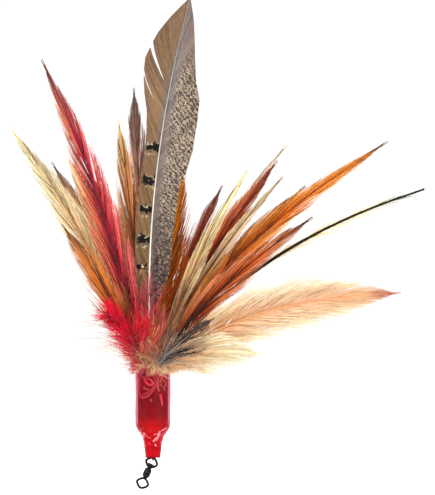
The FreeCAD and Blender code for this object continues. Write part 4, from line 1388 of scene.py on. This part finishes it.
# short curls that fold out over the mouth, sweeps that cross the front from the left down to the right,
# and long hairs that stand out beside the fluff; lengths in mm, angles in degrees from the front
collar = {
    "curls": {
        "red": {"count": 260, "turn": (-175, 12), "reach": (0.2, 2.0), "rise": (1.5, 7.0)},
        "golden": {"count": 240, "turn": (6, 112), "reach": (0.2, 5.5), "rise": (1.0, 7.5)},
        "brown": {"count": 100, "turn": (100, 190), "reach": (0.4, 2.5), "rise": (1.5, 6.0)},
    },
    "drift": 14,
    "drop": (-3, 1.6),
    "foot": (-3.2, -1.5),  # beside the edge of the mouth, and above it
    "knee": -1.5,
    "curlRadius": 0.15 * mm,
    "sweeps": {
        "count": 80, "start": (-42, 4), "end": (14, 62), "high": (5, 13), "low": (-1.6, 3),
        "out": 5.5, "inward": 5, "stray": 0.25, "shake": 3, "shares": (0, 0.3, 0.6, 0.85, 1),
    },
    "hairs": {"slate": 34, "cream": 70},
    "hair": {
        "steep": (8, 62), "length": (11, 21), "depth": (-9, -2), "aside": -4.5, "foot": (3, 17),
        "sag": (0.1, 0.9), "radius": 0.1 * mm,
    },
    "slots": {
        "red": "red_marabou_barbs", "golden": "gold_fluff_barbs", "brown": "back_brown_barbs",
        "slate": "slate_feather_barbs", "cream": "cream_plume_barbs",
    },
}


def makeCurl(mouth, look, stick):
    turn = math.radians(draw.uniform(*look["turn"]))
    drift = math.radians(draw.normal(0, collar["drift"]))
    reach = draw.uniform(*look["reach"]) * mm
    rise = draw.uniform(*look["rise"]) * mm
    drop = draw.uniform(*collar["drop"]) * mm
    inward, under = collar["foot"]
    rows = [
        (mouth.x + inward * mm, turn, under * mm),
        (mouth.x + collar["knee"] * mm, turn, rise),
        (mouth.x + 0.5 * reach, turn + drift, 0.8 * rise),
        (mouth.x + reach + 0.4 * mm, turn + 2 * drift, -drop),
    ]
    rows = [roundAxis(radius, angle, mouth.z + height) for radius, angle, height in rows]
    return makeStrand(fillPath(rows, rounds=60), stick, collar["curlRadius"], flat=0.6, fine=0.6)


def makeSweep(mouth, stick):
    sweep = collar["sweeps"]
    start, end = draw.uniform(*sweep["start"]), draw.uniform(*sweep["end"])
    high, low = draw.uniform(*sweep["high"]) * mm, draw.uniform(*sweep["low"]) * mm
    rows = []
    for share in sweep["shares"]:
        angle = math.radians(start + (end - start) * share + draw.normal(0, sweep["shake"]))
        stand = (sweep["out"] - sweep["inward"] * share) * mm * (1 + sweep["stray"] * draw.normal())
        rows.append(roundAxis(mouth.x + stand, angle, mouth.z + high + (low - high) * share))
    return makeStrand(fillPath(rows, rounds=60), stick, collar["curlRadius"], flat=0.6, fine=0.5)


def makeHair(mouth, stick):
    hair = collar["hair"]
    steep = math.radians(draw.uniform(*hair["steep"]))
    length = draw.uniform(*hair["length"]) * mm
    depth = draw.uniform(*hair["depth"]) * mm
    start = np.array((hair["aside"] * mm, 0.4 * depth, mouth.z + draw.uniform(*hair["foot"]) * mm))
    lean = np.array((-math.cos(steep), 0, math.sin(steep)))
    bend = np.array((-0.25, depth / length, -0.3)) * length * draw.uniform(*hair["sag"])
    rows = [start, start + lean * length * 0.5, start + lean * length + bend]
    return makeStrand(fillPath(rows, rounds=80), stick, hair["radius"], flat=0.7, fine=0.7)


def makeCollar():
    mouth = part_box("sleeve")[1]
    stick = modelStick(sides=3, cuts=9)
    parts = {tint: [] for tint in collar["slots"]}
    for tint, look in collar["curls"].items():
        parts[tint] += [makeCurl(mouth, look, stick) for _ in range(look["count"])]
    parts["golden"] += [makeSweep(mouth, stick) for _ in range(collar["sweeps"]["count"])]
    for tint, count in collar["hairs"].items():
        parts[tint] += [makeHair(mouth, stick) for _ in range(count)]
    for tint, strands in parts.items():
        addStrands(tint + "Collar", strands, downMaterial(tint))
    print("collar made")


triangles = 0
for node, look in feathers.items():
    piece = makeFeather(node, {**usual, **look})
    triangles += sum(len(face.vertices) - 2 for face in piece.data.polygons)
print("feathers made:", len(feathers), "with", triangles, "triangles")

makeWisps()
makeCollar()
makeSleeve()
makeFoldHighlights()
makeSwivel()
finishInside()

makeStudio()
